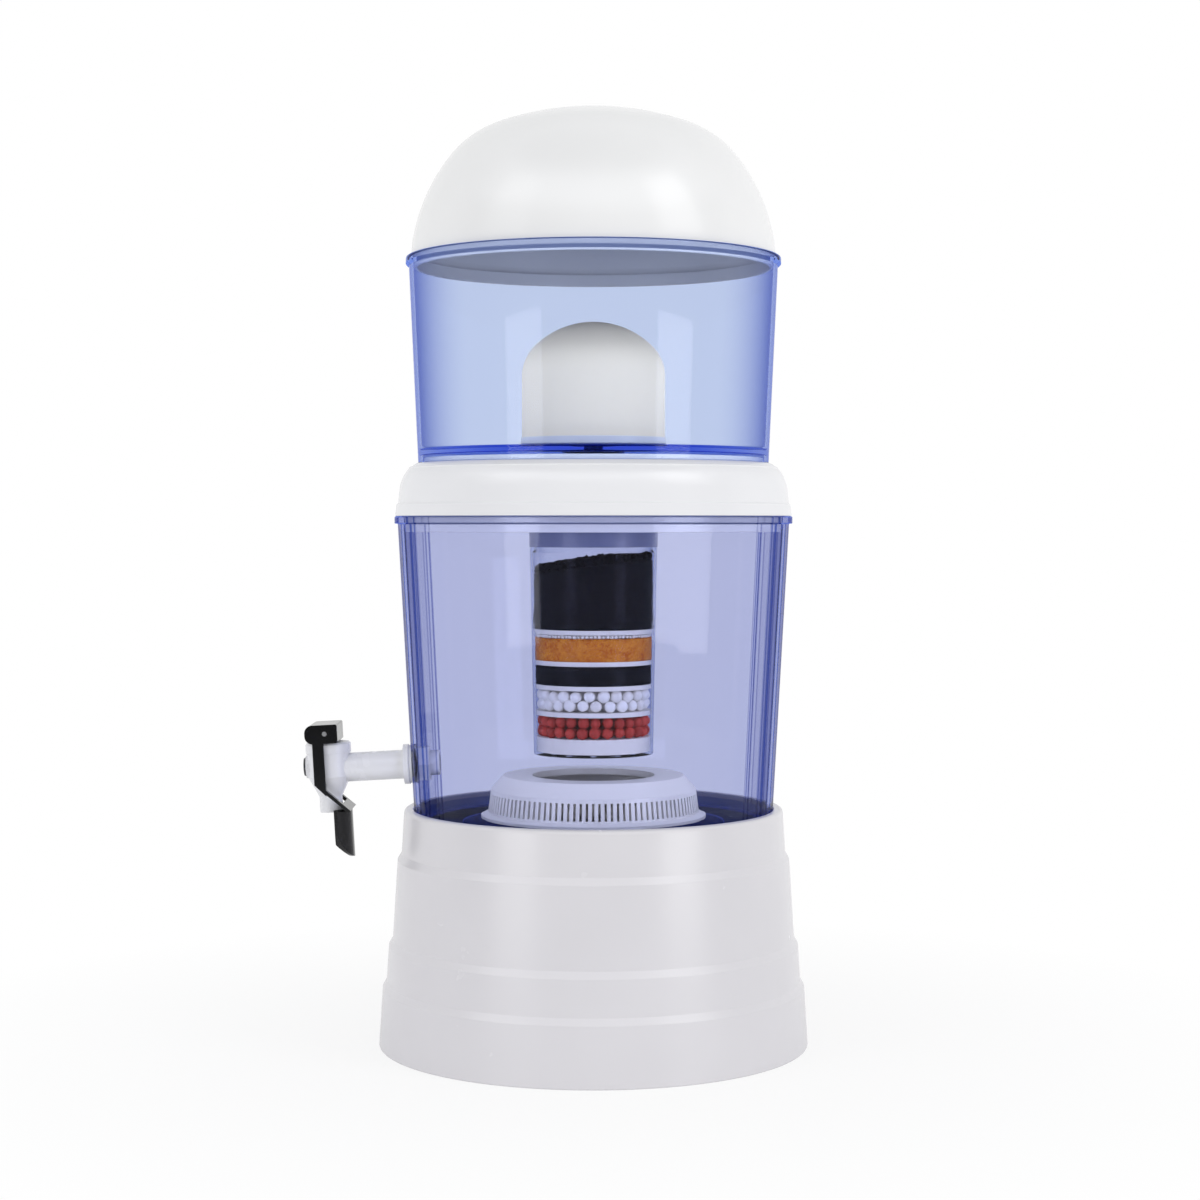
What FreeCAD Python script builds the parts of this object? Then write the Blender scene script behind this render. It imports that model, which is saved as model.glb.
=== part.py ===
"""Gravity water filter with a push tap: two clear blue tanks stacked on a white stand, under a domed lid.

Raw water is poured into the upper tank, seeps through the ceramic dome, drips through a cartridge of
five mineral beds into the lower tank, and is drawn off at the tap. Every piece is a node of its own.
The frame stands on the floor at the middle of the stand, +Z is up and the tap points along -Y. All in mm.
"""

import FreeCAD, Part

import math
import os

from FreeCAD import Base

# Stand
base_height = 152.0
base_foot_radius = 138.4
base_wall = 3.0
base_draft = 0.063
base_step = 2.3
base_step_rise = 4.5
base_step_heights = (37.4, 64.5, 119.5)
base_rim_round = 4.0
seat_depth = 9.0
deck_thickness = 3.0
deck_opening_radius = 84.0
deck_rib_count = 12
deck_rib_height = 18.0
deck_rib_thickness = 2.5

# Lower tank, a drafted many-sided tub
tank_sides = 36
lower_tank_height = 196.7
lower_tank_top_radius = 125.9
lower_tank_foot_radius = 115.2
lower_tank_wall = 3.0
lower_tank_floor = 3.0
lower_tank_foot_round = 8.0
lower_rim_width = 1.9
lower_rim_height = 4.7

# Middle cover, the lid of the lower tank and the seat of the upper one
cover_height = 34.0
cover_wall = 2.5
cover_shoulder_drop = 16.0
cover_shoulder_bulge = 1.8
cover_band_height = 7.5
cover_groove = 1.0
cover_band_draft = 0.11
plug_depth = 10.0
seat_ring_height = 3.3
seat_ring_wall = 2.6

# Drip basin that hangs in the middle cover and carries the cartridge in its collar
basin_radius = 99.5
basin_depth = 36.2
basin_wall = 2.5
basin_lip = 1.5
collar_depth = 7.5
collar_wall = 3.2

# Upper tank, a round drafted tub
upper_tank_height = 131.3
upper_tank_top_radius = 118.4
upper_tank_foot_radius = 112.5
upper_tank_wall = 2.8
upper_tank_floor = 3.0
upper_skirt_height = 5.3
upper_rim_width = 1.8
upper_rim_height = 6.0
upper_corner_chamfer = 3.0

# Lid
lid_height = 95.0
lid_lap = 1.4
lid_wall = 2.5
lid_plug_depth = 7.0
lid_crown_radius = 190.0
lid_shoulder_radius = 62.0
lid_side_radius = 115.0
lid_side_draft = 4.0

# Ceramic filter in the upper tank
ceramic_radius = 46.0
ceramic_height = 78.0
ceramic_crown = 35.0
ceramic_shoulder_radius = 27.0
ceramic_wall = 8.0
filter_base_lip = 0.6
filter_base_height = 6.0
filter_base_plate = 2.5
stem_radius = 6.0
stem_bore_radius = 2.5
stem_length = 34.0
upper_gasket_radius = 20.0
gasket_thickness = 2.0
lower_gasket_radius = 14.0
wing_nut_height = 9.0
wing_nut_radius = 11.0
wing_span = 36.0
wing_thickness = 4.0
wing_drop = 2.0

# Mineral cartridge hanging in the lower tank
cartridge_neck_radius = 41.3
cartridge_foot_radius = 38.5
cartridge_wall = 1.8
cartridge_length = 150.5
cartridge_cap_height = 17.5
cartridge_flange_radius = 46.0
cartridge_flange = 2.0
cartridge_joint_lap = 6.0
inlet_hole_radius = 2.2
inlet_hole_pitch = 16.0
inlet_ring_step = 13.0
inlet_ring_count = 3
screen_thickness = 2.9
pad_thickness = 9.5
coral_bed = 14.0
silica_bed = 14.0
fine_carbon_bed = 12.6
resin_bed = 17.0
coarse_carbon_bed = 45.0
coarse_carbon_heap = 5.0

# Mineral stone case on the floor of the lower tank
case_height = 27.0
case_flange_radius = 72.5
case_flange = 3.5
case_foot_radius = 68.5
case_wall = 2.2
case_draft = 0.13
case_top_radius = 58.0
case_shoulder_drop = 9.0
case_mouth_radius = 39.4
case_mouth_lip = 4.0
case_slot_count = 108
case_slot_width = 1.6
case_slot_height = 11.0
stone_bed = 13.0

# Tap, in its own upright frame at the wall: u points out of the wall, v up, x across
tap_height = 37.0
tap_axis_reach = 54.0
tap_tail_radius = 8.0
tap_tail_length = 17.0
tap_flange_radius = 12.9
tap_flange = 3.5
spigot_radius = 9.3
inlet_radius = 6.0
barrel_radius = 13.9
barrel_top = 10.2
barrel_bottom = -5.0
chamber_radius = 9.6
valve_seat = -9.0
nozzle_radius = 7.4
nozzle_top = -18.0
nozzle_bottom = -28.0
nozzle_bore_radius = 4.6
bonnet_radius = 14.6
bonnet_height = 6.7
bonnet_plug_radius = 11.0
bonnet_plug_depth = 6.2
bonnet_roof = 3.0
spring_pocket_radius = 7.6
valve_stem_radius = 2.2
valve_disc_radius = 8.0
valve_disc_height = 4.0
valve_boss_radius = 3.9
valve_boss_height = 4.0
spring_radius = 5.6
spring_wire_radius = 0.5
spring_turns = 6
spring_runs = 16
spring_wire_sides = 8
disc_radius = 6.4
disc_boss = 0.6
disc_thickness = 1.5
disc_height = 1.6
outer_washer_radius = 12.2
inner_washer_radius = 11.0
washer_thickness = 2.0
nut_across_flats = 21.0
nut_thickness = 6.5

# Tap lever
lever_pivot = 23.6
lever_head_front = 12.8
lever_head_back = 8.2
lever_head_top = 29.4
lever_head_round = 5.0
lever_heel_round = 1.2
lever_thickness = 2.5
lever_arm_width = 7.2
lever_arm_offset = 4.6
lever_arm_bottom = -9.0
lever_plate = 2.2
lever_window_gap = 1.5
paddle_back = 13.4
paddle_top = -28.0
paddle_length = 29.6
paddle_radius = 16.0
paddle_half_width = 15.4
paddle_wall = 2.0
paddle_depth = 10.5
eye_radius = 3.0
eye_half_width = 2.2
pin_radius = 1.5

# Clearances
loose_fit = 0.8
lid_fit = 0.4
screw_fit = 0.3
running_fit = 0.1
slide_gap = 0.4
head_gap = 0.5

# Levels up the stack, each from the piece below it
lower_foot_z = base_height - seat_depth
lower_rim_z = lower_foot_z + lower_tank_height
cover_top_z = lower_rim_z + cover_height
basin_floor_z = cover_top_z - basin_depth
upper_floor_z = cover_top_z + upper_skirt_height + upper_tank_floor
upper_rim_z = cover_top_z + upper_tank_height
filter_base_z = upper_floor_z + gasket_thickness
cartridge_foot_z = basin_floor_z - cartridge_length
case_foot_z = lower_foot_z + lower_tank_floor

# Outside of the ring that centres the upper tank on the middle cover
seat_ring_radius = upper_tank_foot_radius - upper_tank_wall - loose_fit

# Half the angle that one side of the lower tank spans, and the tap's lean, square to that drafted side
half_side = math.pi / tank_sides
tank_slope = (lower_tank_top_radius - lower_tank_foot_radius) / lower_tank_height
tap_lean = math.degrees(math.atan(tank_slope * math.cos(half_side)))

O = Base.Vector(0, 0, 0)
X_AXIS = Base.Vector(1, 0, 0)
Z_AXIS = Base.Vector(0, 0, 1)
BLEED = 1.0
TOUCH = 0.001
BIG = 400.0


def outline(start, *steps):
    """Closed face in the XZ plane. A step is a point, or a (middle, end) pair of points for an arc."""
    here = Base.Vector(start[0], 0, start[1])
    edges = []
    for step in (*steps, start):
        curved = isinstance(step[0], tuple)
        end = step[1] if curved else step
        there = Base.Vector(end[0], 0, end[1])
        if curved:
            middle = Base.Vector(step[0][0], 0, step[0][1])
            edges.append(Part.Arc(here, middle, there).toShape())
        elif here.distanceToPoint(there) > TOUCH:
            edges.append(Part.LineSegment(here, there).toShape())
        here = there
    return Part.Face(Part.Wire(edges))


def turned(start, *steps):
    """Solid of revolution about Z of an outline in (radius, height)."""
    return outline(start, *steps).revolve(O, Z_AXIS, 360)


def drum(radius, bottom, top):
    """Round bar on the Z axis between two heights."""
    return Part.makeCylinder(radius, top - bottom, Base.Vector(0, 0, bottom))


def tube(outer, inner, bottom, top):
    """Round ring on the Z axis."""
    return drum(outer, bottom, top).cut(drum(inner, bottom - BLEED, top + BLEED))


def block(low, high):
    """Box between two corners."""
    size = [high[k] - low[k] for k in range(3)]
    return Part.makeBox(*size, Base.Vector(*low))


def around(shape, count, first=0.0):
    """Copies of a shape at even turns about Z."""
    copies = []
    for k in range(count):
        copy = shape.copy()
        copy.rotate(O, Z_AXIS, first + 360.0 * k / count)
        copies.append(copy)
    return copies


def polar(centre, radius, angle):
    """Point at an angle in degrees round a centre, both in (radius, height)."""
    a = math.radians(angle)
    return (centre[0] + radius * math.cos(a), centre[1] + radius * math.sin(a))


def bearing(start, end):
    """Angle in degrees of the way from one point to another."""
    return math.degrees(math.atan2(end[1] - start[1], end[0] - start[0]))


def dome(radius, height, bottom, crown, shoulder, side, draft):
    """Solid dome whose outline is three tangent arcs: a drafted side, a shoulder and a flat crown."""
    side_centre = polar((radius, bottom), -side, draft)
    crown_centre = (0.0, bottom + height - crown)
    apart = math.dist(crown_centre, side_centre)
    to_crown, to_side = crown - shoulder, side - shoulder
    along = (to_crown**2 - to_side**2 + apart**2) / (2 * apart)
    lean = math.degrees(math.acos(along / to_crown))
    shoulder_centre = polar(crown_centre, to_crown, bearing(crown_centre, side_centre) - lean)
    side_end = bearing(side_centre, shoulder_centre)
    crown_start = bearing(crown_centre, shoulder_centre)
    return turned(
        (0, bottom),
        (radius, bottom),
        (polar(side_centre, side, (draft + side_end) / 2), polar(side_centre, side, side_end)),
        (
            polar(shoulder_centre, shoulder, (side_end + crown_start) / 2),
            polar(shoulder_centre, shoulder, crown_start),
        ),
        (polar(crown_centre, crown, (crown_start + 90) / 2), (0, bottom + height)),
    )


def base_radius(height, steps_passed):
    """Outer radius of the stand at a height, above so many of its steps."""
    return base_foot_radius - base_draft * height - base_step * steps_passed


def base_outline(inset):
    """Side of the stand from the floor up, inset by a wall: drafted bands joined by short sloping steps."""
    points = [(base_radius(0.0, 0) - inset, 0.0)]
    for k, height in enumerate(base_step_heights):
        points.append((base_radius(height, k) - inset, height))
        risen = height + base_step_rise
        points.append((base_radius(risen, k + 1) - inset, risen))
    return points


def make_base_stand():
    """Hollow stand: banded shell, recessed deck that seats the tank, and ribs under the deck."""
    top_radius = base_radius(base_height, len(base_step_heights))
    seat_radius = lower_tank_foot_radius + loose_fit
    round_centre = (top_radius - base_rim_round, base_height - base_rim_round)
    rim = (polar(round_centre, base_rim_round, 45), (round_centre[0], base_height))
    deck_z = base_height - seat_depth
    under_deck = deck_z - deck_thickness
    inner = [p for p in reversed(base_outline(base_wall)) if p[1] < under_deck - BLEED]
    inner_top = base_radius(under_deck, len(base_step_heights)) - base_wall
    shell = turned(
        base_outline(0.0)[0],
        *base_outline(0.0)[1:],
        (top_radius, base_height - base_rim_round),
        rim,
        (seat_radius, base_height),
        (seat_radius, deck_z),
        (deck_opening_radius, deck_z),
        (deck_opening_radius, under_deck),
        (inner_top, under_deck),
        *inner,
    )
    rib = block(
        (deck_opening_radius, -deck_rib_thickness / 2, under_deck - deck_rib_height),
        (inner_top + BLEED, deck_rib_thickness / 2, under_deck + BLEED),
    )
    lip = tube(deck_opening_radius + base_wall, deck_opening_radius, under_deck - deck_rib_height, deck_z)
    return shell.fuse([lip, *around(rib, deck_rib_count, 180.0 / deck_rib_count)]).removeSplitter()


def tank_radius(height):
    """Corner radius of the lower tank's outside at a height above its foot."""
    return lower_tank_foot_radius + tank_slope * height


def many_sided(radius, z):
    """Wire of the lower tank's section, with flats square to X and Y."""
    turns = [half_side * (2 * k + 1) + math.pi / 2 for k in range(tank_sides + 1)]
    return Part.makePolygon([Base.Vector(radius * math.cos(a), radius * math.sin(a), z) for a in turns])


def many_sided_tub(inset, bottom, top, foot_round):
    """Solid drafted tub with a rounded foot. Its walls lie inset inside the tank's outside."""
    inset_radius = inset / math.cos(half_side)
    low = many_sided(tank_radius(bottom - lower_foot_z) - inset_radius, bottom)
    high = many_sided(tank_radius(top - lower_foot_z) - inset_radius, top)
    solid = Part.makeLoft([low, high], True, True)
    foot_edges = [e for e in solid.Edges if e.BoundBox.ZMax < bottom + TOUCH]
    return solid.makeFillet(foot_round, foot_edges)


def make_lower_tank():
    """Clear tub with flat sides, a round rim, and the tap's hole and inside seat square to one side."""
    outside = many_sided_tub(0.0, lower_foot_z, lower_rim_z, lower_tank_foot_round)
    inside_round = lower_tank_foot_round - lower_tank_wall
    floor_z = lower_foot_z + lower_tank_floor
    inside = many_sided_tub(lower_tank_wall, floor_z, lower_rim_z + BLEED, inside_round)
    rim = drum(lower_tank_top_radius + lower_rim_width, lower_rim_z - lower_rim_height, lower_rim_z)
    inner_face = -lower_tank_wall
    hole = drum(tap_tail_radius + slide_gap, 3 * inner_face, 3 * lower_tank_wall)
    seat = drum(inner_washer_radius + slide_gap, 3 * inner_face, inner_face)
    return outside.fuse(rim).cut(inside).cut(on_wall(along_u(hole.fuse(seat)))).removeSplitter()


def make_middle_cover():
    """Cover between the tanks: shouldered skirt, seat for the upper tank, plug wall and open deck."""
    seat_outer = upper_tank_foot_radius + loose_fit
    shoulder_z = cover_top_z - cover_shoulder_drop
    foot_radius = lower_tank_top_radius + lower_rim_width - slide_gap
    band_z = lower_rim_z + cover_band_height + cover_groove
    band_radius = foot_radius - cover_band_draft * (cover_band_height + cover_groove)
    waist_radius = band_radius - cover_groove
    shoulder_radius = waist_radius - cover_band_draft * (shoulder_z - band_z)
    bulge = cover_shoulder_bulge
    shoulder = ((seat_outer + shoulder_radius) / 2 + bulge, (cover_top_z + shoulder_z) / 2 + bulge)
    under_top = cover_top_z - cover_wall
    inner_skirt = shoulder_radius - cover_wall
    under_shoulder = (shoulder[0] - cover_wall, shoulder[1] - cover_wall / 2)
    tank_inside = tank_radius(lower_tank_height - plug_depth) * math.cos(half_side) - lower_tank_wall
    plug_outer = tank_inside - loose_fit
    plug_inner = plug_outer - cover_wall
    plug_z = lower_rim_z - plug_depth
    deck_hole = basin_radius + basin_wall + slide_gap
    return turned(
        (foot_radius, lower_rim_z),
        (band_radius, band_z - cover_groove),
        (waist_radius, band_z),
        (shoulder_radius, shoulder_z),
        (shoulder, (seat_outer, cover_top_z)),
        (seat_ring_radius, cover_top_z),
        (seat_ring_radius, cover_top_z + seat_ring_height),
        (seat_ring_radius - seat_ring_wall, cover_top_z + seat_ring_height),
        (seat_ring_radius - seat_ring_wall, cover_top_z),
        (deck_hole, cover_top_z),
        (deck_hole, under_top),
        (plug_inner, under_top),
        (plug_inner, plug_z),
        (plug_outer, plug_z),
        (plug_outer, under_top - BLEED),
        under_shoulder,
        (inner_skirt, shoulder_z),
        (waist_radius - cover_wall, band_z),
        (foot_radius - cover_wall, lower_rim_z),
    )


def make_cover_basin():
    """Drip basin: its lip lies on the cover's deck, and its collar holds the cartridge's neck."""
    lip_radius = seat_ring_radius - seat_ring_wall - slide_gap
    under_floor = basin_floor_z - basin_wall
    collar_inner = cartridge_neck_radius + screw_fit
    collar_outer = collar_inner + collar_wall
    collar_z = basin_floor_z - collar_depth
    return turned(
        (collar_inner, collar_z),
        (collar_outer, collar_z),
        (collar_outer, under_floor),
        (basin_radius, under_floor),
        (basin_radius + basin_wall, cover_top_z),
        (lip_radius, cover_top_z),
        (lip_radius, cover_top_z + basin_lip),
        (basin_radius, cover_top_z + basin_lip),
        (basin_radius - basin_wall, basin_floor_z),
        (collar_inner, basin_floor_z),
    )


def make_upper_tank():
    """Clear round tub with a beaded rim and a short skirt under its floor, holed for the filter's stem."""
    foot, top = upper_tank_foot_radius, upper_tank_top_radius
    slope = (top - foot) / upper_tank_height
    under_floor = upper_floor_z - upper_tank_floor
    rim_outer = top + upper_rim_width
    rim_z = upper_rim_z - upper_rim_height
    stem_hole = stem_radius + slide_gap
    inner_floor = foot + slope * (upper_floor_z - cover_top_z) - upper_tank_wall
    return turned(
        (foot, cover_top_z),
        (top - slope * upper_rim_height, rim_z),
        (rim_outer, rim_z + upper_rim_width),
        (rim_outer, upper_rim_z - upper_rim_width / 2),
        (rim_outer - upper_rim_width / 2, upper_rim_z),
        (top - upper_tank_wall, upper_rim_z),
        (inner_floor, upper_floor_z + upper_corner_chamfer),
        (inner_floor - upper_corner_chamfer, upper_floor_z),
        (stem_hole, upper_floor_z),
        (stem_hole, under_floor),
        (foot - upper_tank_wall, under_floor),
        (foot - upper_tank_wall, cover_top_z),
    )


def lid_radius():
    """Outer radius of the lid where it stands on the upper tank's rim."""
    return upper_tank_top_radius - upper_tank_wall + lid_lap


def lid_dome(inset):
    """Solid dome that lies inset inside the outside of the lid."""
    return dome(
        lid_radius() - inset,
        lid_height - inset,
        upper_rim_z,
        lid_crown_radius - inset,
        lid_shoulder_radius - inset,
        lid_side_radius - inset,
        lid_side_draft,
    )


def make_lid():
    """Hollow white dome with a plug ring that drops inside the upper tank's rim."""
    plug_top = upper_tank_top_radius - upper_tank_wall - lid_fit
    plug_z = upper_rim_z - lid_plug_depth
    slope = (upper_tank_top_radius - upper_tank_foot_radius) / upper_tank_height
    plug_foot = plug_top - slope * lid_plug_depth
    plug = turned(
        (plug_foot - lid_wall, plug_z),
        (plug_foot, plug_z),
        (plug_top, upper_rim_z),
        (plug_top, upper_rim_z + BLEED),
        (plug_foot - lid_wall, upper_rim_z + BLEED),
    )
    shell = lid_dome(0.0).cut(lid_dome(lid_wall))
    return shell.fuse(plug).cut(drum(plug_foot - lid_wall, plug_z, upper_rim_z + BLEED)).removeSplitter()


def make_ceramic_dome():
    """Porous ceramic candle: a thick white dome, open below, standing in the filter base."""
    foot = filter_base_z + filter_base_plate
    spring_line = foot + ceramic_height - ceramic_crown
    shoulder_centre = (ceramic_radius - ceramic_shoulder_radius, spring_line)
    # The crown's radius follows from its tangency with the shoulder
    crown = (shoulder_centre[0] ** 2 + ceramic_crown**2 - ceramic_shoulder_radius**2) / (
        2 * (ceramic_crown - ceramic_shoulder_radius)
    )
    crown_centre = (0.0, foot + ceramic_height - crown)
    crown_start = bearing(crown_centre, shoulder_centre)
    bore = ceramic_radius - ceramic_wall
    bore_top = spring_line + ceramic_crown - ceramic_wall
    return turned(
        (bore, foot),
        (ceramic_radius, foot),
        (ceramic_radius, spring_line),
        (
            polar(shoulder_centre, ceramic_shoulder_radius, crown_start / 2),
            polar(shoulder_centre, ceramic_shoulder_radius, crown_start),
        ),
        (polar(crown_centre, crown, (crown_start + 90) / 2), (0, foot + ceramic_height)),
        (0, bore_top),
        (shoulder_centre[0], bore_top),
        (bore, spring_line),
    )


def make_filter_base():
    """Plastic cup under the ceramic, with the bored and threaded stem that passes the tank's floor."""
    rim_outer = ceramic_radius + filter_base_lip + running_fit
    foot_z = filter_base_z
    stem_foot = upper_floor_z - stem_length
    cup = turned(
        (stem_bore_radius, stem_foot),
        (stem_radius - BLEED, stem_foot),
        (stem_radius, stem_foot + BLEED),
        (stem_radius, foot_z),
        (rim_outer - BLEED, foot_z),
        (rim_outer, foot_z + BLEED),
        (rim_outer, foot_z + filter_base_height),
        (ceramic_radius + running_fit, foot_z + filter_base_height),
        (ceramic_radius + running_fit, foot_z + filter_base_plate),
        (stem_bore_radius, foot_z + filter_base_plate),
    )
    return cup


def make_wing_nut():
    """Nut under the tank's floor that clamps the filter, with two finger wings."""
    top = upper_floor_z - upper_tank_floor - gasket_thickness
    bottom = top - wing_nut_height
    hub = drum(wing_nut_radius, bottom, top)
    wing = block(
        (-wing_span / 2, -wing_thickness / 2, bottom),
        (wing_span / 2, wing_thickness / 2, top - wing_drop),
    )
    return hub.fuse(wing).cut(drum(stem_radius + running_fit, bottom - BLEED, top + BLEED)).removeSplitter()


def upper_gasket():
    """Washer between the filter base and the tank's floor."""
    return tube(upper_gasket_radius, stem_radius + slide_gap, upper_floor_z, filter_base_z)


def lower_gasket():
    """Washer between the wing nut and the underside of the tank's floor."""
    under = upper_floor_z - upper_tank_floor
    return tube(lower_gasket_radius, stem_radius + slide_gap, under - gasket_thickness, under)


def cartridge_radius(z):
    """Outer radius of the drafted cartridge at a height."""
    share = (z - cartridge_foot_z) / cartridge_length
    return cartridge_foot_radius + (cartridge_neck_radius - cartridge_foot_radius) * share


def bed_radius(z):
    """Radius of a bed that fills the cartridge at a height."""
    return cartridge_radius(z) - cartridge_wall - screw_fit


def pierced(shape, bottom, top):
    """The shape with rings of small water holes through it."""
    holes = []
    for k in range(inlet_ring_count):
        ring = k * inlet_ring_step
        count = max(1, round(2 * math.pi * ring / inlet_hole_pitch))
        hole = Part.makeCylinder(inlet_hole_radius, top - bottom, Base.Vector(ring, 0, bottom))
        holes += around(hole, count)
    return shape.cut(holes)


def cap_foot_z():
    """Lower edge of the cartridge's cap."""
    return basin_floor_z - cartridge_cap_height


def make_cartridge_cap():
    """Cap that hangs the cartridge from the cover by its flange, with water holes in its roof."""
    foot = cap_foot_z()
    neck = cartridge_neck_radius
    top = basin_floor_z + cartridge_flange
    roof = basin_floor_z - cartridge_flange / 2
    shape = turned(
        (neck, foot),
        (neck, basin_floor_z),
        (cartridge_flange_radius, basin_floor_z),
        (cartridge_flange_radius, top),
        (neck - cartridge_wall, top),
        (neck - cartridge_wall, basin_floor_z + cartridge_flange / 2),
        (0, basin_floor_z + cartridge_flange / 2),
        (0, roof),
        (neck - cartridge_wall, roof),
        (neck - cartridge_wall, foot),
    )
    return pierced(shape, roof - BLEED, top + BLEED)


def make_cartridge_cup():
    """Clear drafted cup that holds the beds, pierced in its floor, its neck inside the cap."""
    foot = cartridge_foot_z
    joint = cap_foot_z()
    inner_neck = cartridge_radius(joint) - cartridge_wall
    neck = cartridge_neck_radius - cartridge_wall - screw_fit
    shape = turned(
        (0, foot),
        (cartridge_foot_radius, foot),
        (cartridge_radius(joint), joint),
        (neck, joint),
        (neck, joint + cartridge_joint_lap),
        (neck - cartridge_wall, joint + cartridge_joint_lap),
        (neck - cartridge_wall, joint - cartridge_wall),
        (inner_neck, joint - 2 * cartridge_wall),
        (cartridge_foot_radius - cartridge_wall, foot + cartridge_wall),
        (0, foot + cartridge_wall),
    )
    return pierced(shape, foot - BLEED, foot + cartridge_wall + BLEED)


def beds():
    """Name, floor and thickness of each bed in the cartridge from the bottom up, a screen over each."""
    stack = []
    level = cartridge_foot_z + cartridge_wall + pad_thickness
    for name, thickness in (
        ("coral_ball_bed", coral_bed),
        ("silica_ball_bed", silica_bed),
        ("fine_carbon_bed", fine_carbon_bed),
        ("resin_bed", resin_bed),
        ("coarse_carbon_bed", coarse_carbon_bed),
    ):
        stack.append((name, level, thickness))
        level += thickness + screen_thickness
    return stack


def make_bed(floor, thickness, heap=0.0):
    """One granular bed, drafted with the cup. A heap domes its top."""
    top = floor + thickness
    if heap == 0.0:
        return turned((0, floor), (bed_radius(floor), floor), (bed_radius(top), top), (0, top))
    edge = bed_radius(top)
    crown = (edge**2 + heap**2) / (2 * heap)
    crown_centre = (0.0, top + heap - crown)
    crown_start = bearing(crown_centre, (edge, top))
    mound = (polar(crown_centre, crown, (crown_start + 90) / 2), (0, top + heap))
    return turned((0, floor), (bed_radius(floor), floor), (edge, top), mound)


def make_cartridge_pad():
    """Felt pad on the cartridge's floor."""
    floor = cartridge_foot_z + cartridge_wall
    return make_bed(floor, pad_thickness)


def make_cartridge_screens():
    """The thin discs that part the beds."""
    discs = [make_bed(floor + thickness, screen_thickness) for _, floor, thickness in beds()[:-1]]
    return Part.makeCompound(discs)


def case_radius(height):
    """Outer radius of the stone case's side at a height above its foot."""
    return case_foot_radius - case_draft * height


def make_case_basket():
    """Slotted wall and floor of the stone case, on a flat flange."""
    foot = case_foot_z
    rim = foot + case_height - case_shoulder_drop
    side_low = case_radius(case_flange)
    side_high = case_radius(rim - foot)
    shape = turned(
        (0, foot),
        (case_flange_radius, foot),
        (case_flange_radius, foot + case_flange / 2),
        (side_low, foot + case_flange),
        (side_high, rim),
        (side_high - case_wall, rim),
        (side_low - case_wall, foot + case_flange),
        (side_low - case_wall, foot + case_wall),
        (0, foot + case_wall),
    )
    slot_z = foot + case_flange + case_wall / 2
    slot = block(
        (side_high - 3 * case_wall, -case_slot_width / 2, slot_z),
        (side_low + case_wall, case_slot_width / 2, slot_z + case_slot_height),
    )
    return shape.cut(around(slot, case_slot_count))


def make_case_lid():
    """Sloping shoulder and flat top of the stone case, with a round mouth."""
    rim = case_foot_z + case_height - case_shoulder_drop
    top = case_foot_z + case_height
    side = case_radius(rim - case_foot_z)
    return turned(
        (side, rim),
        (case_top_radius, top),
        (case_mouth_radius, top),
        (case_mouth_radius, top - case_mouth_lip),
        (case_mouth_radius + case_wall, top - case_mouth_lip),
        (case_mouth_radius + case_wall, top - case_wall),
        (case_top_radius - case_wall / 2, top - case_wall),
        (side - case_wall, rim + case_wall / 2),
        (side - case_wall, rim),
    )


def make_stone_bed():
    """Loose mineral stones that cover the case's floor."""
    floor = case_foot_z + case_wall
    edge = case_radius(case_flange) - case_wall - slide_gap
    top_edge = case_radius(case_wall + stone_bed) - case_wall - slide_gap
    return turned((0, floor), (edge, floor), (top_edge, floor + stone_bed), (0, floor + stone_bed))


def on_wall(shape):
    """Carries a piece from the tap's own frame to the tank's side, square to its drafted face."""
    placed = shape.copy()
    placed.rotate(O, X_AXIS, tap_lean)
    face = tank_radius(tap_height) * math.cos(half_side)
    placed.translate(Base.Vector(0, -face, lower_foot_z + tap_height))
    return placed


def tap_point(x, u, v):
    """A point of the tap's own frame, x across, u out and v up, in the whole part's frame."""
    return on_wall(Part.Vertex(x, -u, v)).Point


def along_u(shape):
    """Turns a piece made along Z so that its length runs out of the wall, along u."""
    laid = shape.copy()
    laid.rotate(O, X_AXIS, 90)
    return laid


def at_reach(shape):
    """Moves an upright piece from the Z axis to the tap's barrel axis."""
    moved = shape.copy()
    moved.translate(Base.Vector(0, -tap_axis_reach, 0))
    return moved


def make_tap_body():
    """Barrel with its nozzle and valve seat, on a bored spigot with a flange and a threaded tail."""
    outside = turned(
        (0, nozzle_bottom),
        (nozzle_radius, nozzle_bottom),
        (nozzle_radius, nozzle_top),
        (barrel_radius, barrel_bottom),
        (barrel_radius, barrel_top),
        (0, barrel_top),
    )
    spigot = drum(spigot_radius, washer_thickness, tap_axis_reach)
    flange = drum(tap_flange_radius, washer_thickness, washer_thickness + tap_flange)
    tail = drum(tap_tail_radius, -tap_tail_length, tap_flange)
    arm = along_u(spigot.fuse([flange, tail]))
    boss = along_u(drum(disc_radius + BLEED, tap_axis_reach, tap_axis_reach + barrel_radius + disc_boss))
    boss.translate(Base.Vector(0, 0, disc_height))
    chamber = turned(
        (0, nozzle_bottom - BLEED),
        (nozzle_bore_radius, nozzle_bottom - BLEED),
        (nozzle_bore_radius, valve_seat),
        (chamber_radius, valve_seat),
        (chamber_radius, barrel_top - bonnet_plug_depth),
        (bonnet_plug_radius + screw_fit, barrel_top - bonnet_plug_depth),
        (bonnet_plug_radius + screw_fit, barrel_top + BLEED),
        (0, barrel_top + BLEED),
    )
    inlet = along_u(drum(inlet_radius, -tap_tail_length - BLEED, tap_axis_reach))
    solid = at_reach(outside).fuse([arm, boss]).cut([at_reach(chamber), inlet])
    return on_wall(solid.removeSplitter())


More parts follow.
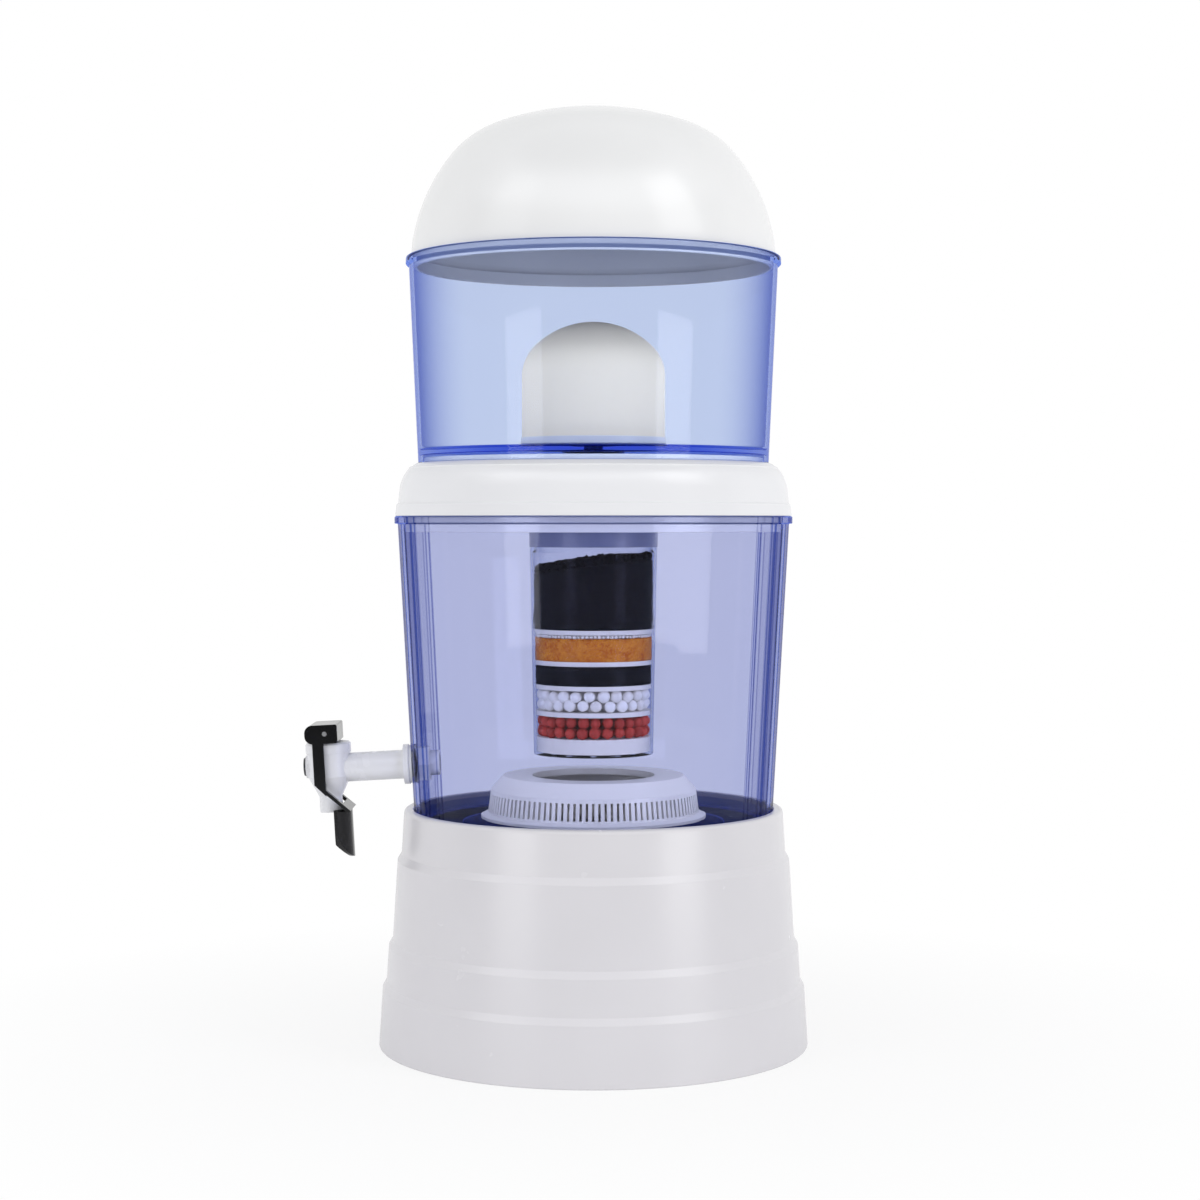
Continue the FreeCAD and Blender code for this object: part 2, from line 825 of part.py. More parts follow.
def make_tap_bonnet():
    """Screwed cap of the barrel: it guides the stem and holds the spring's upper end."""
    top = barrel_top + bonnet_height
    foot = barrel_top - bonnet_plug_depth
    bore = valve_stem_radius + slide_gap
    shape = turned(
        (spring_pocket_radius, foot),
        (bonnet_plug_radius, foot),
        (bonnet_plug_radius, barrel_top),
        (bonnet_radius, barrel_top),
        (bonnet_radius, top - BLEED),
        (bonnet_radius - BLEED, top),
        (bore, top),
        (bore, top - bonnet_roof),
        (spring_pocket_radius, top - bonnet_roof),
    )
    return on_wall(at_reach(shape))


def make_valve_stem():
    """Rod that lifts the seal, with a flat eye at its top for the lever's pin."""
    foot = valve_seat + valve_disc_height / 2
    rod = drum(valve_stem_radius, foot, lever_pivot - eye_radius)
    eye = along_x(Part.makeCylinder(eye_radius, 2 * eye_half_width, Base.Vector(0, 0, -eye_half_width)))
    neck = block(
        (-eye_half_width, -valve_stem_radius, lever_pivot - 2 * eye_radius),
        (eye_half_width, valve_stem_radius, lever_pivot),
    )
    eye.translate(Base.Vector(0, 0, lever_pivot))
    hole = along_x(Part.makeCylinder(pin_radius + running_fit, BIG, Base.Vector(0, 0, -BIG / 2)))
    hole.translate(Base.Vector(0, 0, lever_pivot))
    return on_wall(at_reach(rod.fuse([neck, eye]).cut(hole).removeSplitter()))


def make_valve_seal():
    """Silicone disc that closes the valve seat, moulded round the stem's foot."""
    top = valve_seat + valve_disc_height
    socket = valve_stem_radius + running_fit
    shape = turned(
        (0, valve_seat),
        (valve_disc_radius, valve_seat),
        (valve_disc_radius, top),
        (valve_boss_radius, top),
        (valve_boss_radius, top + valve_boss_height),
        (socket, top + valve_boss_height),
        (socket, valve_seat + valve_disc_height / 2),
        (0, valve_seat + valve_disc_height / 2),
    )
    return on_wall(at_reach(shape))


def spring_section(turn, foot, length):
    """Many-sided wire of the spring's section after so many turns, in the plane through the axis."""
    a = 2 * math.pi * turn
    middle = foot + length * turn / spring_turns
    corners = []
    for k in range(spring_wire_sides + 1):
        b = 2 * math.pi * k / spring_wire_sides
        reach = spring_radius + spring_wire_radius * math.cos(b)
        height = middle + spring_wire_radius * math.sin(b)
        corners.append(Base.Vector(reach * math.cos(a), reach * math.sin(a), height))
    return Part.makePolygon(corners)


def make_valve_spring():
    """Compression spring that holds the seal on its seat: short straight runs along a helix."""
    foot = valve_seat + valve_disc_height + spring_wire_radius + slide_gap
    roof = barrel_top + bonnet_height - bonnet_roof - spring_wire_radius - slide_gap
    length = roof - foot
    steps = spring_turns * spring_runs
    sections = [spring_section(k / spring_runs, foot, length) for k in range(steps + 1)]
    coil = Part.makeLoft(sections, True, True)
    print(f"valve spring: least gap between turns {length / spring_turns - 2 * spring_wire_radius:.2f} mm")
    return on_wall(at_reach(coil))


def make_tap_disc():
    """Plain round insert in the front of the barrel."""
    face = tap_axis_reach + barrel_radius + disc_boss
    front_radius = disc_radius - disc_thickness / 2
    disc = along_u(Part.makeCone(disc_radius, front_radius, disc_thickness, Base.Vector(0, 0, face)))
    disc.translate(Base.Vector(0, 0, disc_height))
    return on_wall(disc)


def make_outer_washer():
    """Silicone washer between the tap's flange and the tank."""
    return on_wall(along_u(tube(outer_washer_radius, tap_tail_radius + slide_gap, 0.0, washer_thickness)))


def make_inner_washer():
    """Silicone washer between the nut and the inside of the tank."""
    inner_face = -lower_tank_wall
    washer = tube(inner_washer_radius, tap_tail_radius + slide_gap, inner_face - washer_thickness, inner_face)
    return on_wall(along_u(washer))


def make_tap_nut():
    """Hexagon nut on the tap's tail, inside the tank."""
    face = -lower_tank_wall - washer_thickness
    corner = nut_across_flats / 2 / math.cos(math.pi / 6)
    turns = [math.pi / 3 * k for k in range(7)]
    low = face - nut_thickness
    hexagon = Part.makePolygon([Base.Vector(corner * math.cos(a), corner * math.sin(a), low) for a in turns])
    nut = Part.Face(hexagon).extrude(Base.Vector(0, 0, nut_thickness))
    hole = drum(tap_tail_radius + running_fit, face - nut_thickness - BLEED, face + BLEED)
    return on_wall(along_u(nut.cut(hole)))


def along_x(shape):
    """Turns a piece made along Z so that it lies along X."""
    laid = shape.copy()
    laid.rotate(O, Base.Vector(0, 1, 0), 90)
    return laid


def side_plate(points, half_width):
    """Plate across x with an outline given as (u, v) points measured from the barrel's axis."""
    corners = [Base.Vector(-half_width, -u, v) for u, v in (*points, points[0])]
    return Part.Face(Part.makePolygon(corners)).extrude(Base.Vector(2 * half_width, 0, 0))


def paddle_outline(half_width):
    """Front outline of the paddle, straight sides over a half-round end."""
    end_centre = paddle_top - paddle_length + half_width
    upright = block((-half_width, -BIG / 4, end_centre), (half_width, BIG / 4, paddle_top + lever_plate))
    end = along_u(drum(half_width, -BIG / 4, BIG / 4))
    end.translate(Base.Vector(0, 0, end_centre))
    return upright.fuse(end)


def edges_across(shape, low_u, high_u):
    """Edges of a shape that run along x between two reaches in front of the barrel's axis."""
    found = []
    for edge in shape.Edges:
        straight = abs(edge.tangentAt(edge.FirstParameter).x) > 0.99
        if straight and low_u - 1e-3 < -edge.BoundBox.YMax and -edge.BoundBox.YMin < high_u + 1e-3:
            found.append(edge)
    return found


def lever_head(half_width, bottom):
    """Head of the lever: a bar across the bonnet with a rounded nose, which is the cam, and a crisp heel."""
    corners = [
        (-lever_head_back, bottom),
        (lever_head_front, bottom),
        (lever_head_front, lever_head_top),
        (-lever_head_back, lever_head_top),
    ]
    head = side_plate(corners, half_width)
    head = head.makeFillet(lever_head_round, edges_across(head, lever_head_front, lever_head_front))
    return head.makeFillet(lever_heel_round, edges_across(head, -lever_head_back, -lever_head_back))


def lever_yoke(half_width, inner_half_width, head_bottom):
    """Two arms down the sides of the barrel, and the sloping plate with a window for the nozzle."""
    front = lever_arm_offset + lever_arm_width / 2
    back = lever_arm_offset - lever_arm_width / 2
    plate_reach = paddle_back - paddle_wall / 2
    run = (front - lever_plate) + plate_reach
    fall = lever_arm_bottom - paddle_top
    length = math.hypot(run, fall)
    skew = (-lever_plate * fall / length, lever_plate * run / length)
    low_point = (-plate_reach, paddle_top)
    arm_profile = [
        (front, head_bottom + lever_heel_round),
        (front, lever_arm_bottom),
        (back, lever_arm_bottom - (front - back) * fall / run),
        (back, head_bottom + lever_heel_round),
    ]
    plate_profile = [
        (front, lever_arm_bottom),
        low_point,
        (low_point[0] + skew[0], low_point[1] + skew[1]),
        (front + skew[0], lever_arm_bottom + skew[1]),
    ]
    between = block((-inner_half_width, -BIG / 4, lever_arm_bottom), (inner_half_width, BIG / 4, head_bottom))
    window_half = barrel_radius - BLEED
    window_end = nozzle_radius + lever_window_gap
    window = block((-window_half, -BIG / 4, nozzle_bottom), (window_half, window_end, lever_arm_bottom))
    arms = side_plate(arm_profile, half_width)
    return arms.fuse(side_plate(plate_profile, half_width)).cut([between, window])


def lever_paddle():
    """Cupped paddle: a slice of a tube, hollow to the front, with a half-round end."""
    axis_y = paddle_back - paddle_wall - paddle_radius
    paddle_foot = paddle_top - paddle_length
    shell = tube(paddle_radius + paddle_wall, paddle_radius, paddle_foot, paddle_top + lever_plate)
    shell.translate(Base.Vector(0, axis_y, 0))
    slice_front = paddle_back - paddle_depth
    rear = block((-BIG / 4, slice_front, paddle_top - BIG / 4), (BIG / 4, BIG / 4, paddle_top + BIG / 4))
    return shell.common(paddle_outline(paddle_half_width)).common(rear)


def make_tap_lever():
    """Black lever: head with its cheeks, two arms beside the barrel, windowed plate and cupped paddle."""
    arm_inner = bonnet_radius + slide_gap
    arm_outer = arm_inner + lever_thickness
    head_bottom = barrel_top + bonnet_height + head_gap
    head = lever_head(arm_outer, head_bottom)
    yoke = lever_yoke(arm_outer, arm_inner, head_bottom)
    slot_half = eye_half_width + slide_gap
    slot_top = lever_pivot + eye_radius + slide_gap
    slot = block((-slot_half, -2 * eye_radius, head_bottom - BLEED), (slot_half, 1.5 * eye_radius, slot_top))
    pin_hole = along_x(drum(pin_radius, -BIG / 4, BIG / 4))
    pin_hole.translate(Base.Vector(0, 0, lever_pivot))
    solid = head.fuse([yoke, lever_paddle()]).cut([slot, pin_hole]).removeSplitter()
    return on_wall(at_reach(solid))


def make_lever_pin():
    """Pin through the lever's cheeks and the eye of the stem."""
    half = bonnet_radius + slide_gap + lever_thickness
    pin = along_x(drum(pin_radius, -half, half))
    pin.translate(Base.Vector(0, 0, lever_pivot))
    return on_wall(at_reach(pin))


def make_parts():
    """Every node of the part by name."""
    parts = {
        "base_stand": make_base_stand(),
        "lower_tank": make_lower_tank(),
        "middle_cover": make_middle_cover(),
        "cover_basin": make_cover_basin(),
        "upper_tank": make_upper_tank(),
        "lid_dome": make_lid(),
        "ceramic_dome": make_ceramic_dome(),
        "filter_base": make_filter_base(),
        "filter_gasket": upper_gasket(),
        "nut_gasket": lower_gasket(),
        "wing_nut": make_wing_nut(),
        "cartridge_cap": make_cartridge_cap(),
        "cartridge_cup": make_cartridge_cup(),
        "cartridge_pad": make_cartridge_pad(),
        "cartridge_screens": make_cartridge_screens(),
        "case_basket": make_case_basket(),
        "case_lid": make_case_lid(),
        "mineral_stones": make_stone_bed(),
        "tap_body": make_tap_body(),
        "tap_bonnet": make_tap_bonnet(),
        "tap_disc": make_tap_disc(),
        "tap_outer_washer": make_outer_washer(),
        "tap_inner_washer": make_inner_washer(),
        "tap_nut": make_tap_nut(),
        "valve_stem": make_valve_stem(),
        "valve_seal": make_valve_seal(),
        "valve_spring": make_valve_spring(),
        "tap_lever": make_tap_lever(),
        "lever_pin": make_lever_pin(),
    }
    for name, floor, thickness in beds():
        heap = coarse_carbon_heap if name == "coarse_carbon_bed" else 0.0
        parts[name] = make_bed(floor, thickness, heap)
    return parts


def main():
    """Writes one STEP file per node and prints each node's size."""
    os.makedirs("parts", exist_ok=True)
    for name, shape in make_parts().items():
        bounds = shape.BoundBox
        print(
            f"{name}: {len(shape.Solids)} solid, valid {shape.isValid()}, volume {shape.Volume:.0f}, "
            f"z {bounds.ZMin:.1f} to {bounds.ZMax:.1f}"
        )
        shape.exportStep(f"parts/{name}.step")


if __name__ == "__main__":
    main()
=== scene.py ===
"""Looks of a gravity water filter: white shells, clear blue tanks, a mineral cartridge and a push tap.

Lengths are in millimetres in every class and become metres when a mesh is made. The frame gives each piece
its place: the stack stands on the Z axis and the tap points along -Y.
"""

import logging
import math
from collections.abc import Callable
from dataclasses import dataclass, field
from enum import Enum
from functools import partial

import bmesh
import bpy
import numpy as np
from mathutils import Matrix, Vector


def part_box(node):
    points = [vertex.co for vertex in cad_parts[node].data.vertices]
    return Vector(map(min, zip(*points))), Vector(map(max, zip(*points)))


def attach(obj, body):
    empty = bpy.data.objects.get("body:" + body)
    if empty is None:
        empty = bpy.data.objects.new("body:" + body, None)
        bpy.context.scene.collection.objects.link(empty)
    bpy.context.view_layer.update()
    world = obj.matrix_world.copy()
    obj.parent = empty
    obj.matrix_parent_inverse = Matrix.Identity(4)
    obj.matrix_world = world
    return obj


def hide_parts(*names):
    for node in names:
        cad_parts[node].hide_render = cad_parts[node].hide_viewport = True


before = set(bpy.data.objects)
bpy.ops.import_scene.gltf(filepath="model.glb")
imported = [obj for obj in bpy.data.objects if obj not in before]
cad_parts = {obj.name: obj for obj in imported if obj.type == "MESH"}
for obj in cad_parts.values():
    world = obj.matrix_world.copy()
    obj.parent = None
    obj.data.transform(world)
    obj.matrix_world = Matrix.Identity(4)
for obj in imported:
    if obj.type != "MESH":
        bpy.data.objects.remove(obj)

MM = 0.001
SEED = 7
# Radius that stands for the axis, so that no two points of a turned surface fall together
AXIS_POINT = 1e-4
# A corner's arc and the support point beside it take at most these shares of the shorter side
ARC_SHARE, SUPPORT_SHARE = 0.4, 0.15
# Points of a mesh that are closer than this, in metres, are one point
MERGED = 2e-7
# Grains keep this far from the wall round them, and the palest takes this share of the light tone
WALL_GAP, PALEST = 0.3, 0.8
# A face is upright below this share of Z in its normal, and an edge's band reaches this far past the edge
UPRIGHT, EDGE_REACH = 0.3, 1.0

NOISE, MIX, RANGE = "ShaderNodeTexNoise", "ShaderNodeMix", "ShaderNodeMapRange"
MATHS, BUMP, COLOURS = "ShaderNodeMath", "ShaderNodeBump", {"data_type": "RGBA"}

log = logging.getLogger("water_filter")
Surface = tuple[np.ndarray, np.ndarray]
Adder = Callable[..., bpy.types.Node]


class Grain(Enum):
    """How a bed's grains are shaped: faces along a cube's side, spread of the stretch, and roughness."""

    BALL = (3, 0.02, 0.0)
    PEBBLE = (3, 0.16, 0.03)
    LUMP = (2, 0.2, 0.13)


# Colours and shader nodes


def linear(hex_colour: str) -> tuple[float, float, float, float]:
    """Turns an sRGB hex colour into linear red, green, blue and a full alpha.

    Args:
        hex_colour: six hex digits after a hash.

    Returns:
        The linear colour.
    """
    parts = np.array([int(hex_colour[k : k + 2], 16) for k in (1, 3, 5)]) / 255
    light = np.where(parts <= 0.04045, parts / 12.92, ((parts + 0.055) / 1.055) ** 2.4)
    return (*map(float, light), 1.0)


def per_metre(length: float) -> float:
    """Texture scale that repeats a pattern once in so many millimetres."""
    return 1 / (length * MM)


def add_node(
    tree: bpy.types.NodeTree, kind: str, settings: dict | None = None, inputs: dict | None = None
) -> bpy.types.Node:
    """Adds one shader node with its settings, values and links.

    Args:
        tree: node tree that gets the node.
        kind: Blender's name for the type of node.
        settings: attributes of the node.
        inputs: a value, a socket, or a node whose first output is linked, for each input's name or number.

    Returns:
        The new node.
    """
    node = tree.nodes.new(kind)
    for name, value in (settings or {}).items():
        setattr(node, name, value)
    for key, value in (inputs or {}).items():
        if isinstance(value, bpy.types.Node):
            value = value.outputs[0]
        if isinstance(value, bpy.types.NodeSocket):
            tree.links.new(value, node.inputs[key])
        else:
            node.inputs[key].default_value = value
    return node


def blank_material(name: str) -> tuple[bpy.types.Material, Adder, bpy.types.NodeSocket]:
    """Starts a material with nothing in it but the place on the piece.

    Args:
        name: the material's name.

    Returns:
        The material, what adds a node to it, and the socket that gives object coordinates.
    """
    made = bpy.data.materials.new(name)
    made.use_nodes = True
    made.node_tree.nodes.clear()
    add = partial(add_node, made.node_tree)
    return made, add, add("ShaderNodeTexCoord").outputs["Object"]


def solid_material(made: bpy.types.Material, add: Adder, surface: dict) -> bpy.types.Material:
    """Ends a material with one surface shader.

    Args:
        made: the started material.
        add: what adds a node to it.
        surface: values and links of the surface shader.

    Returns:
        The finished material.
    """
    add("ShaderNodeOutputMaterial", inputs={"Surface": add("ShaderNodeBsdfPrincipled", inputs=surface)})
    return made


@dataclass(frozen=True)
class MouldedPlastic:
    """Opaque injection moulding: a soft gloss over faint orange peel, with slow drifts in tone."""

    name: str
    light: str
    dark: str
    roughness: float
    spread: float = 0.05
    peel_length: float = 1.8
    peel_depth: float = 0.012
    edge: float = 0.0
    drift_length: float = 60.0
    haze_length: float = 14.0

    def material(self) -> bpy.types.Material:
        """Builds the shader: two close tones by slow noise, uneven gloss and a fine bump.

        Returns:
            The material.
        """
        made, add, place = blank_material(self.name)
        drift = add(NOISE, inputs={"Vector": place, "Scale": per_metre(self.drift_length), "Detail": 3.0})
        tone = add(MIX, COLOURS, {0: drift, 6: linear(self.dark), 7: linear(self.light)})
        haze = add(NOISE, inputs={"Vector": place, "Scale": per_metre(self.haze_length), "Detail": 4.0})
        ends = {"To Min": self.roughness - self.spread, "To Max": self.roughness + self.spread}
        peel = add(NOISE, inputs={"Vector": place, "Scale": per_metre(self.peel_length), "Detail": 2.0})
        relief = {"Height": peel, "Strength": 0.6, "Distance": self.peel_depth * MM}
        if self.edge:
            relief["Normal"] = add("ShaderNodeBevel", {"samples": 6}, {"Radius": self.edge * MM})
        surface = {
            "Base Color": tone.outputs[2],
            "Roughness": add(RANGE, inputs={"Value": haze} | ends),
            "IOR": 1.5,
            "Normal": add(BUMP, inputs=relief),
        }
        return solid_material(made, add, surface)


@dataclass(frozen=True)
class ClearPlastic:
    """Polished transparent moulding, dyed in the mass: pale face on, deep along edges and at a slant.

    Light hardly bends in it, so that its edges show the depth of the dye; the coat gives the shine.
    """

    name: str
    tint: str
    edge: str
    absorbed: tuple[float, float, float]
    refraction: float = 1.02
    shine: float = 0.24
    roughness: float = 0.01
    ripple_length: float = 45.0
    ripple_depth: float = 0.05
    slant: tuple[float, float, float] = (0.28, 1.0, 1.5)
    sides: int = 0
    corner_span: tuple[float, float] = (0.15, 0.06)
    corner_slant: tuple[float, float] = (0.45, 0.58)

    def corner_depth(self, add: Adder, place: bpy.types.NodeSocket, facing: bpy.types.NodeSocket) -> bpy.types.Node:
        """How deep the dye looks along a many-sided tub's corners: within a degree of them, and only at a slant.

        Args:
            add: what adds a node to the material.
            place: object coordinates.
            facing: 0 face on, 1 at a slant.

        Returns:
            Node with the share of the edge colour.
        """
        parts = add("ShaderNodeSeparateXYZ", inputs={0: place}).outputs
        bearing = add(MATHS, {"operation": "ARCTAN2"}, {0: parts["Y"], 1: parts["X"]})
        side = add(MATHS, {"operation": "MULTIPLY"}, {0: bearing, 1: self.sides / (2 * math.pi)})
        along = add(MATHS, {"operation": "FRACT"}, {0: side})
        offset = add(MATHS, {"operation": "SUBTRACT"}, {0: along, 1: 0.5})
        apart = add(MATHS, {"operation": "ABSOLUTE"}, {0: offset})
        far, close = self.corner_span
        near = add(RANGE, inputs={"Value": apart, "From Min": far, "From Max": close})
        low, high = self.corner_slant
        slanted = add(RANGE, inputs={"Value": facing, "From Min": low, "From Max": high})
        return add(MATHS, {"operation": "MULTIPLY"}, {0: near, 1: slanted})

    def material(self) -> bpy.types.Material:
        """Builds the shader: glass tinted more at a slant, slow ripples, dye in the depth; lamps pass through.

        Returns:
            The material.
        """
        made, add, place = blank_material(self.name)
        ripple = add(NOISE, inputs={"Vector": place, "Scale": per_metre(self.ripple_length), "Detail": 1.0})
        relief = {"Height": ripple, "Strength": 0.5, "Distance": self.ripple_depth * MM}
        facing = add("ShaderNodeLayerWeight", inputs={"Blend": 0.5}).outputs["Facing"]
        low, high, power = self.slant
        share = add(RANGE, inputs={"Value": facing, "From Min": low, "From Max": high})
        depth = add(MATHS, {"operation": "POWER"}, {0: share, 1: power})
        if self.sides:
            corners = self.corner_depth(add, place, facing)
            depth = add(MATHS, {"operation": "MAXIMUM"}, {0: depth, 1: corners})
        tone = add(MIX, COLOURS, {0: depth, 6: linear(self.tint), 7: linear(self.edge)})
        surface = {
            "Base Color": tone.outputs[2],
            "Roughness": self.roughness,
            "IOR": self.refraction,
            "Transmission Weight": 1.0,
            "Coat Weight": add(RANGE, inputs={"Value": share, "To Min": self.shine, "To Max": 0.0}),
            "Coat Roughness": 0.03,
            "Normal": add(BUMP, inputs=relief),
        }
        glass = add("ShaderNodeBsdfPrincipled", inputs=surface)
        shadow = add("ShaderNodeLightPath").outputs["Is Shadow Ray"]
        both = add("ShaderNodeMixShader", inputs={0: shadow, 1: glass, 2: add("ShaderNodeBsdfTransparent")})
        density = 1.02 * max(self.absorbed)
        colour = (*(1 - part / density for part in self.absorbed), 1.0)
        dye = add("ShaderNodeVolumeAbsorption", inputs={"Color": colour, "Density": per_metre(1 / density)})
        add("ShaderNodeOutputMaterial", inputs={"Surface": both, "Volume": dye})
        return made


@dataclass(frozen=True)
class MilkyPlastic:
    """Translucent natural moulding: light soaks in and scatters, with a dull sheen."""

    name: str
    colour: str
    clearness: float
    roughness: float
    cloud_length: float = 18.0
    grain_length: float = 1.2

    def material(self) -> bpy.types.Material:
        """Builds the shader: part scattering white, part frosted clear, clouded by slow noise.

        Returns:
            The material.
        """
        made, add, place = blank_material(self.name)
        cloud = add(NOISE, inputs={"Vector": place, "Scale": per_metre(self.cloud_length), "Detail": 3.0})
        ends = {"To Min": 0.8 * self.clearness, "To Max": 1.2 * self.clearness}
        grain = add(NOISE, inputs={"Vector": place, "Scale": per_metre(self.grain_length)})
        surface = {
            "Base Color": linear(self.colour),
            "Roughness": self.roughness,
            "IOR": 1.49,
            "Transmission Weight": add(RANGE, inputs={"Value": cloud} | ends),
            "Normal": add(BUMP, inputs={"Height": grain, "Strength": 0.5, "Distance": 0.02 * MM}),
        }
        return solid_material(made, add, surface)


@dataclass(frozen=True)
class Mineral:
    """Fired, broken or tumbled grains and bodies: each grain has its own tone, over fine pits."""

    name: str
    light: str
    dark: str
    roughness: float
    pit_length: float
    pit_depth: float
    by_grain: bool = True
    specular: float = 0.25

    def material(self) -> bpy.types.Material:
        """Builds the shader: tone from the grain's own attribute or from noise, speckles and pits.

        Returns:
            The material.
        """
        made, add, place = blank_material(self.name)
        share = speck = add(NOISE, inputs={"Vector": place, "Scale": per_metre(self.pit_length), "Detail": 4.0})
        if self.by_grain:
            own = add("ShaderNodeAttribute", {"attribute_name": "tint"}).outputs["Fac"]
            share = add(MATHS, {"operation": "MULTIPLY_ADD"}, {0: speck, 1: 0.4, 2: own})
        tone = add(MIX, COLOURS, {0: share, 6: linear(self.dark), 7: linear(self.light)})
        surface = {
            "Base Color": tone.outputs[2],
            "Roughness": self.roughness,
            "Specular IOR Level": self.specular,
            "Normal": add(BUMP, inputs={"Height": speck, "Strength": 0.8, "Distance": self.pit_depth * MM}),
        }
        return solid_material(made, add, surface)


@dataclass(frozen=True)
class Beads:
    """A bed of fine beads seen as one mass: cells of one bead each, with their own tones and round tops."""

    name: str
    light: str
    dark: str
    roughness: float
    bead: float
    specular: float = 0.15

    def material(self) -> bpy.types.Material:
        """Builds the shader from a cell pattern at the size of one bead.

        Returns:
            The material.
        """
        made, add, place = blank_material(self.name)
        cells = add("ShaderNodeTexVoronoi", inputs={"Vector": place, "Scale": per_metre(self.bead)})
        patches = add(NOISE, inputs={"Vector": place, "Scale": per_metre(7 * self.bead), "Detail": 3.0})
        share = add(MIX, COLOURS, {0: 0.55, 6: cells.outputs["Color"], 7: patches})
        grey = add("ShaderNodeRGBToBW", inputs={"Color": share.outputs[2]})
        steep = add(RANGE, inputs={"Value": grey, "From Min": 0.3, "From Max": 0.7})
        tone = add(MIX, COLOURS, {0: steep, 6: linear(self.dark), 7: linear(self.light)})
        relief = {"Height": cells, "Strength": 0.9, "Distance": 0.4 * self.bead * MM}
        surface = {
            "Base Color": tone.outputs[2],
            "Roughness": self.roughness,
            "Specular IOR Level": self.specular,
            "Normal": add(BUMP, {"invert": True}, relief),
        }
        return solid_material(made, add, surface)


@dataclass(frozen=True)
class Felt:
    """Pressed fibre sheet: matt, with short crossing fibres and a soft sheen at a slant."""

    name: str
    light: str
    dark: str
    fibre: float = 0.4

    def material(self) -> bpy.types.Material:
        """Builds the shader: stretched noise both ways for the fibres, as tone and as bump.

        Returns:
            The material.
        """
        made, add, place = blank_material(self.name)
        lines = []
        for stretch in ((1.0, 0.12, 1.0), (0.12, 1.0, 1.0)):
            way = add("ShaderNodeMapping", inputs={"Vector": place, "Scale": stretch})
            lines.append(add(NOISE, inputs={"Vector": way, "Scale": per_metre(self.fibre), "Detail": 3.0}))
        fibres = add(MATHS, {"operation": "MAXIMUM"}, dict(enumerate(lines)))
        tone = add(MIX, COLOURS, {0: fibres, 6: linear(self.dark), 7: linear(self.light)})
        surface = {
            "Base Color": tone.outputs[2],
            "Roughness": 0.9,
            "Sheen Weight": 0.25,
            "Normal": add(BUMP, inputs={"Height": fibres, "Strength": 0.8, "Distance": 0.15 * MM}),
        }
        return solid_material(made, add, surface)


@dataclass(frozen=True)
class TurnedSteel:
    """Bright stainless steel, turned or drawn: fine rings of tool marks across the length."""

    name: str
    colour: str
    roughness: float
    mark: float = 0.5

    def material(self) -> bpy.types.Material:
        """Builds the shader: metal with close bands that change its gloss and bump.

        Returns:
            The material.
        """
        made, add, place = blank_material(self.name)
        wave = {"Vector": place, "Scale": per_metre(20 * self.mark), "Distortion": 1.5, "Detail": 2.0}
        marks = add("ShaderNodeTexWave", inputs=wave).outputs["Fac"]
        ends = {"To Min": self.roughness, "To Max": 1.4 * self.roughness}
        surface = {
            "Base Color": linear(self.colour),
            "Metallic": 1.0,
            "Roughness": add(RANGE, inputs={"Value": marks} | ends),
            "Normal": add(BUMP, inputs={"Height": marks, "Strength": 0.3, "Distance": 0.01 * MM}),
        }
        return solid_material(made, add, surface)


# The finishes of this object

# Polypropylene moulding, textured by its tool: a soft broad highlight and thin bright lines on the step edges
STAND_PLASTIC = MouldedPlastic("white_polypropylene_satin", "#dcdadd", "#d6d4d7", 0.26, 0.03)
# The same plastic from a smoother tool: a clearer highlight
COVER_PLASTIC = MouldedPlastic("white_polypropylene_gloss", "#ececed", "#e6e6e8", 0.24)
LID_PLASTIC = MouldedPlastic("white_polypropylene_lid", "#eeeeed", "#e9e9e8", 0.2)
# The lid's inside is the same plastic, duller from an unpolished core, and greyer as painted shade for the dim hollow
# under the dome
LID_INSIDE_PAINTED_SHADE = MouldedPlastic("white_polypropylene_unpolished_painted_shade", "#bebec2", "#b6b6ba", 0.5)
FILTER_PLASTIC = MouldedPlastic("white_abs_satin", "#e4e4e6", "#dddde0", 0.38, edge=0.4)
TAP_PLASTIC = MouldedPlastic("white_abs_gloss", "#eaeaec", "#e2e2e6", 0.26, edge=0.5)
# Gloss black moulding from a polished tool: nearly mirror reflections of the lamps on its edges
LEVER_PLASTIC = MouldedPlastic("black_abs_polished", "#101012", "#0a0a0b", 0.16, 0.04, edge=0.6)
DISC_PLASTIC = MouldedPlastic("dark_grey_abs", "#333338", "#29292d", 0.4, edge=0.3)
CAP_PLASTIC = MouldedPlastic("blue_grey_polypropylene", "#70779a", "#666c8e", 0.35, edge=0.4)
# Styrene acrylonitrile dyed blue in the mass and moulded in a polished tool: clear faces and deep blue edges
UPPER_TANK_PLASTIC = ClearPlastic("blue_styrene_acrylonitrile_light", "#e1e8f6", "#4266c6", (0.014, 0.011, 0.002))
LOWER_TANK_PLASTIC = ClearPlastic(
    "blue_styrene_acrylonitrile_deep", "#d9dcee", "#1e3ca0", (0.014, 0.012, 0.003), slant=(0.42, 1.0, 1.4), sides=36
)
# Rims, floors and corners of the same plastic, where the eye looks along the dye and not through it
UPPER_TANK_EDGE = ClearPlastic(
    "blue_styrene_acrylonitrile_light_edge", "#b8c8f0", "#8ea6e6", (0.014, 0.011, 0.002), 1.001, 0.0
)
LOWER_TANK_EDGE = ClearPlastic(
    "blue_styrene_acrylonitrile_deep_edge", "#b4c0e8", "#8296da", (0.014, 0.012, 0.003), 1.001, 0.0
)
# The cartridge's own clear plastic, hardly tinted
CUP_PLASTIC = ClearPlastic("clear_polystyrene", "#f6f7fb", "#98a2c4", (0.008, 0.006, 0.003), shine=0.04)
# Undyed polypropylene: milky, with light soaking through its thin slotted wall
CASE_PLASTIC = MilkyPlastic("natural_polypropylene", "#fffdf8", 0.2, 0.36)
SILICONE = MilkyPlastic("white_silicone", "#e8e8ea", 0.15, 0.55)
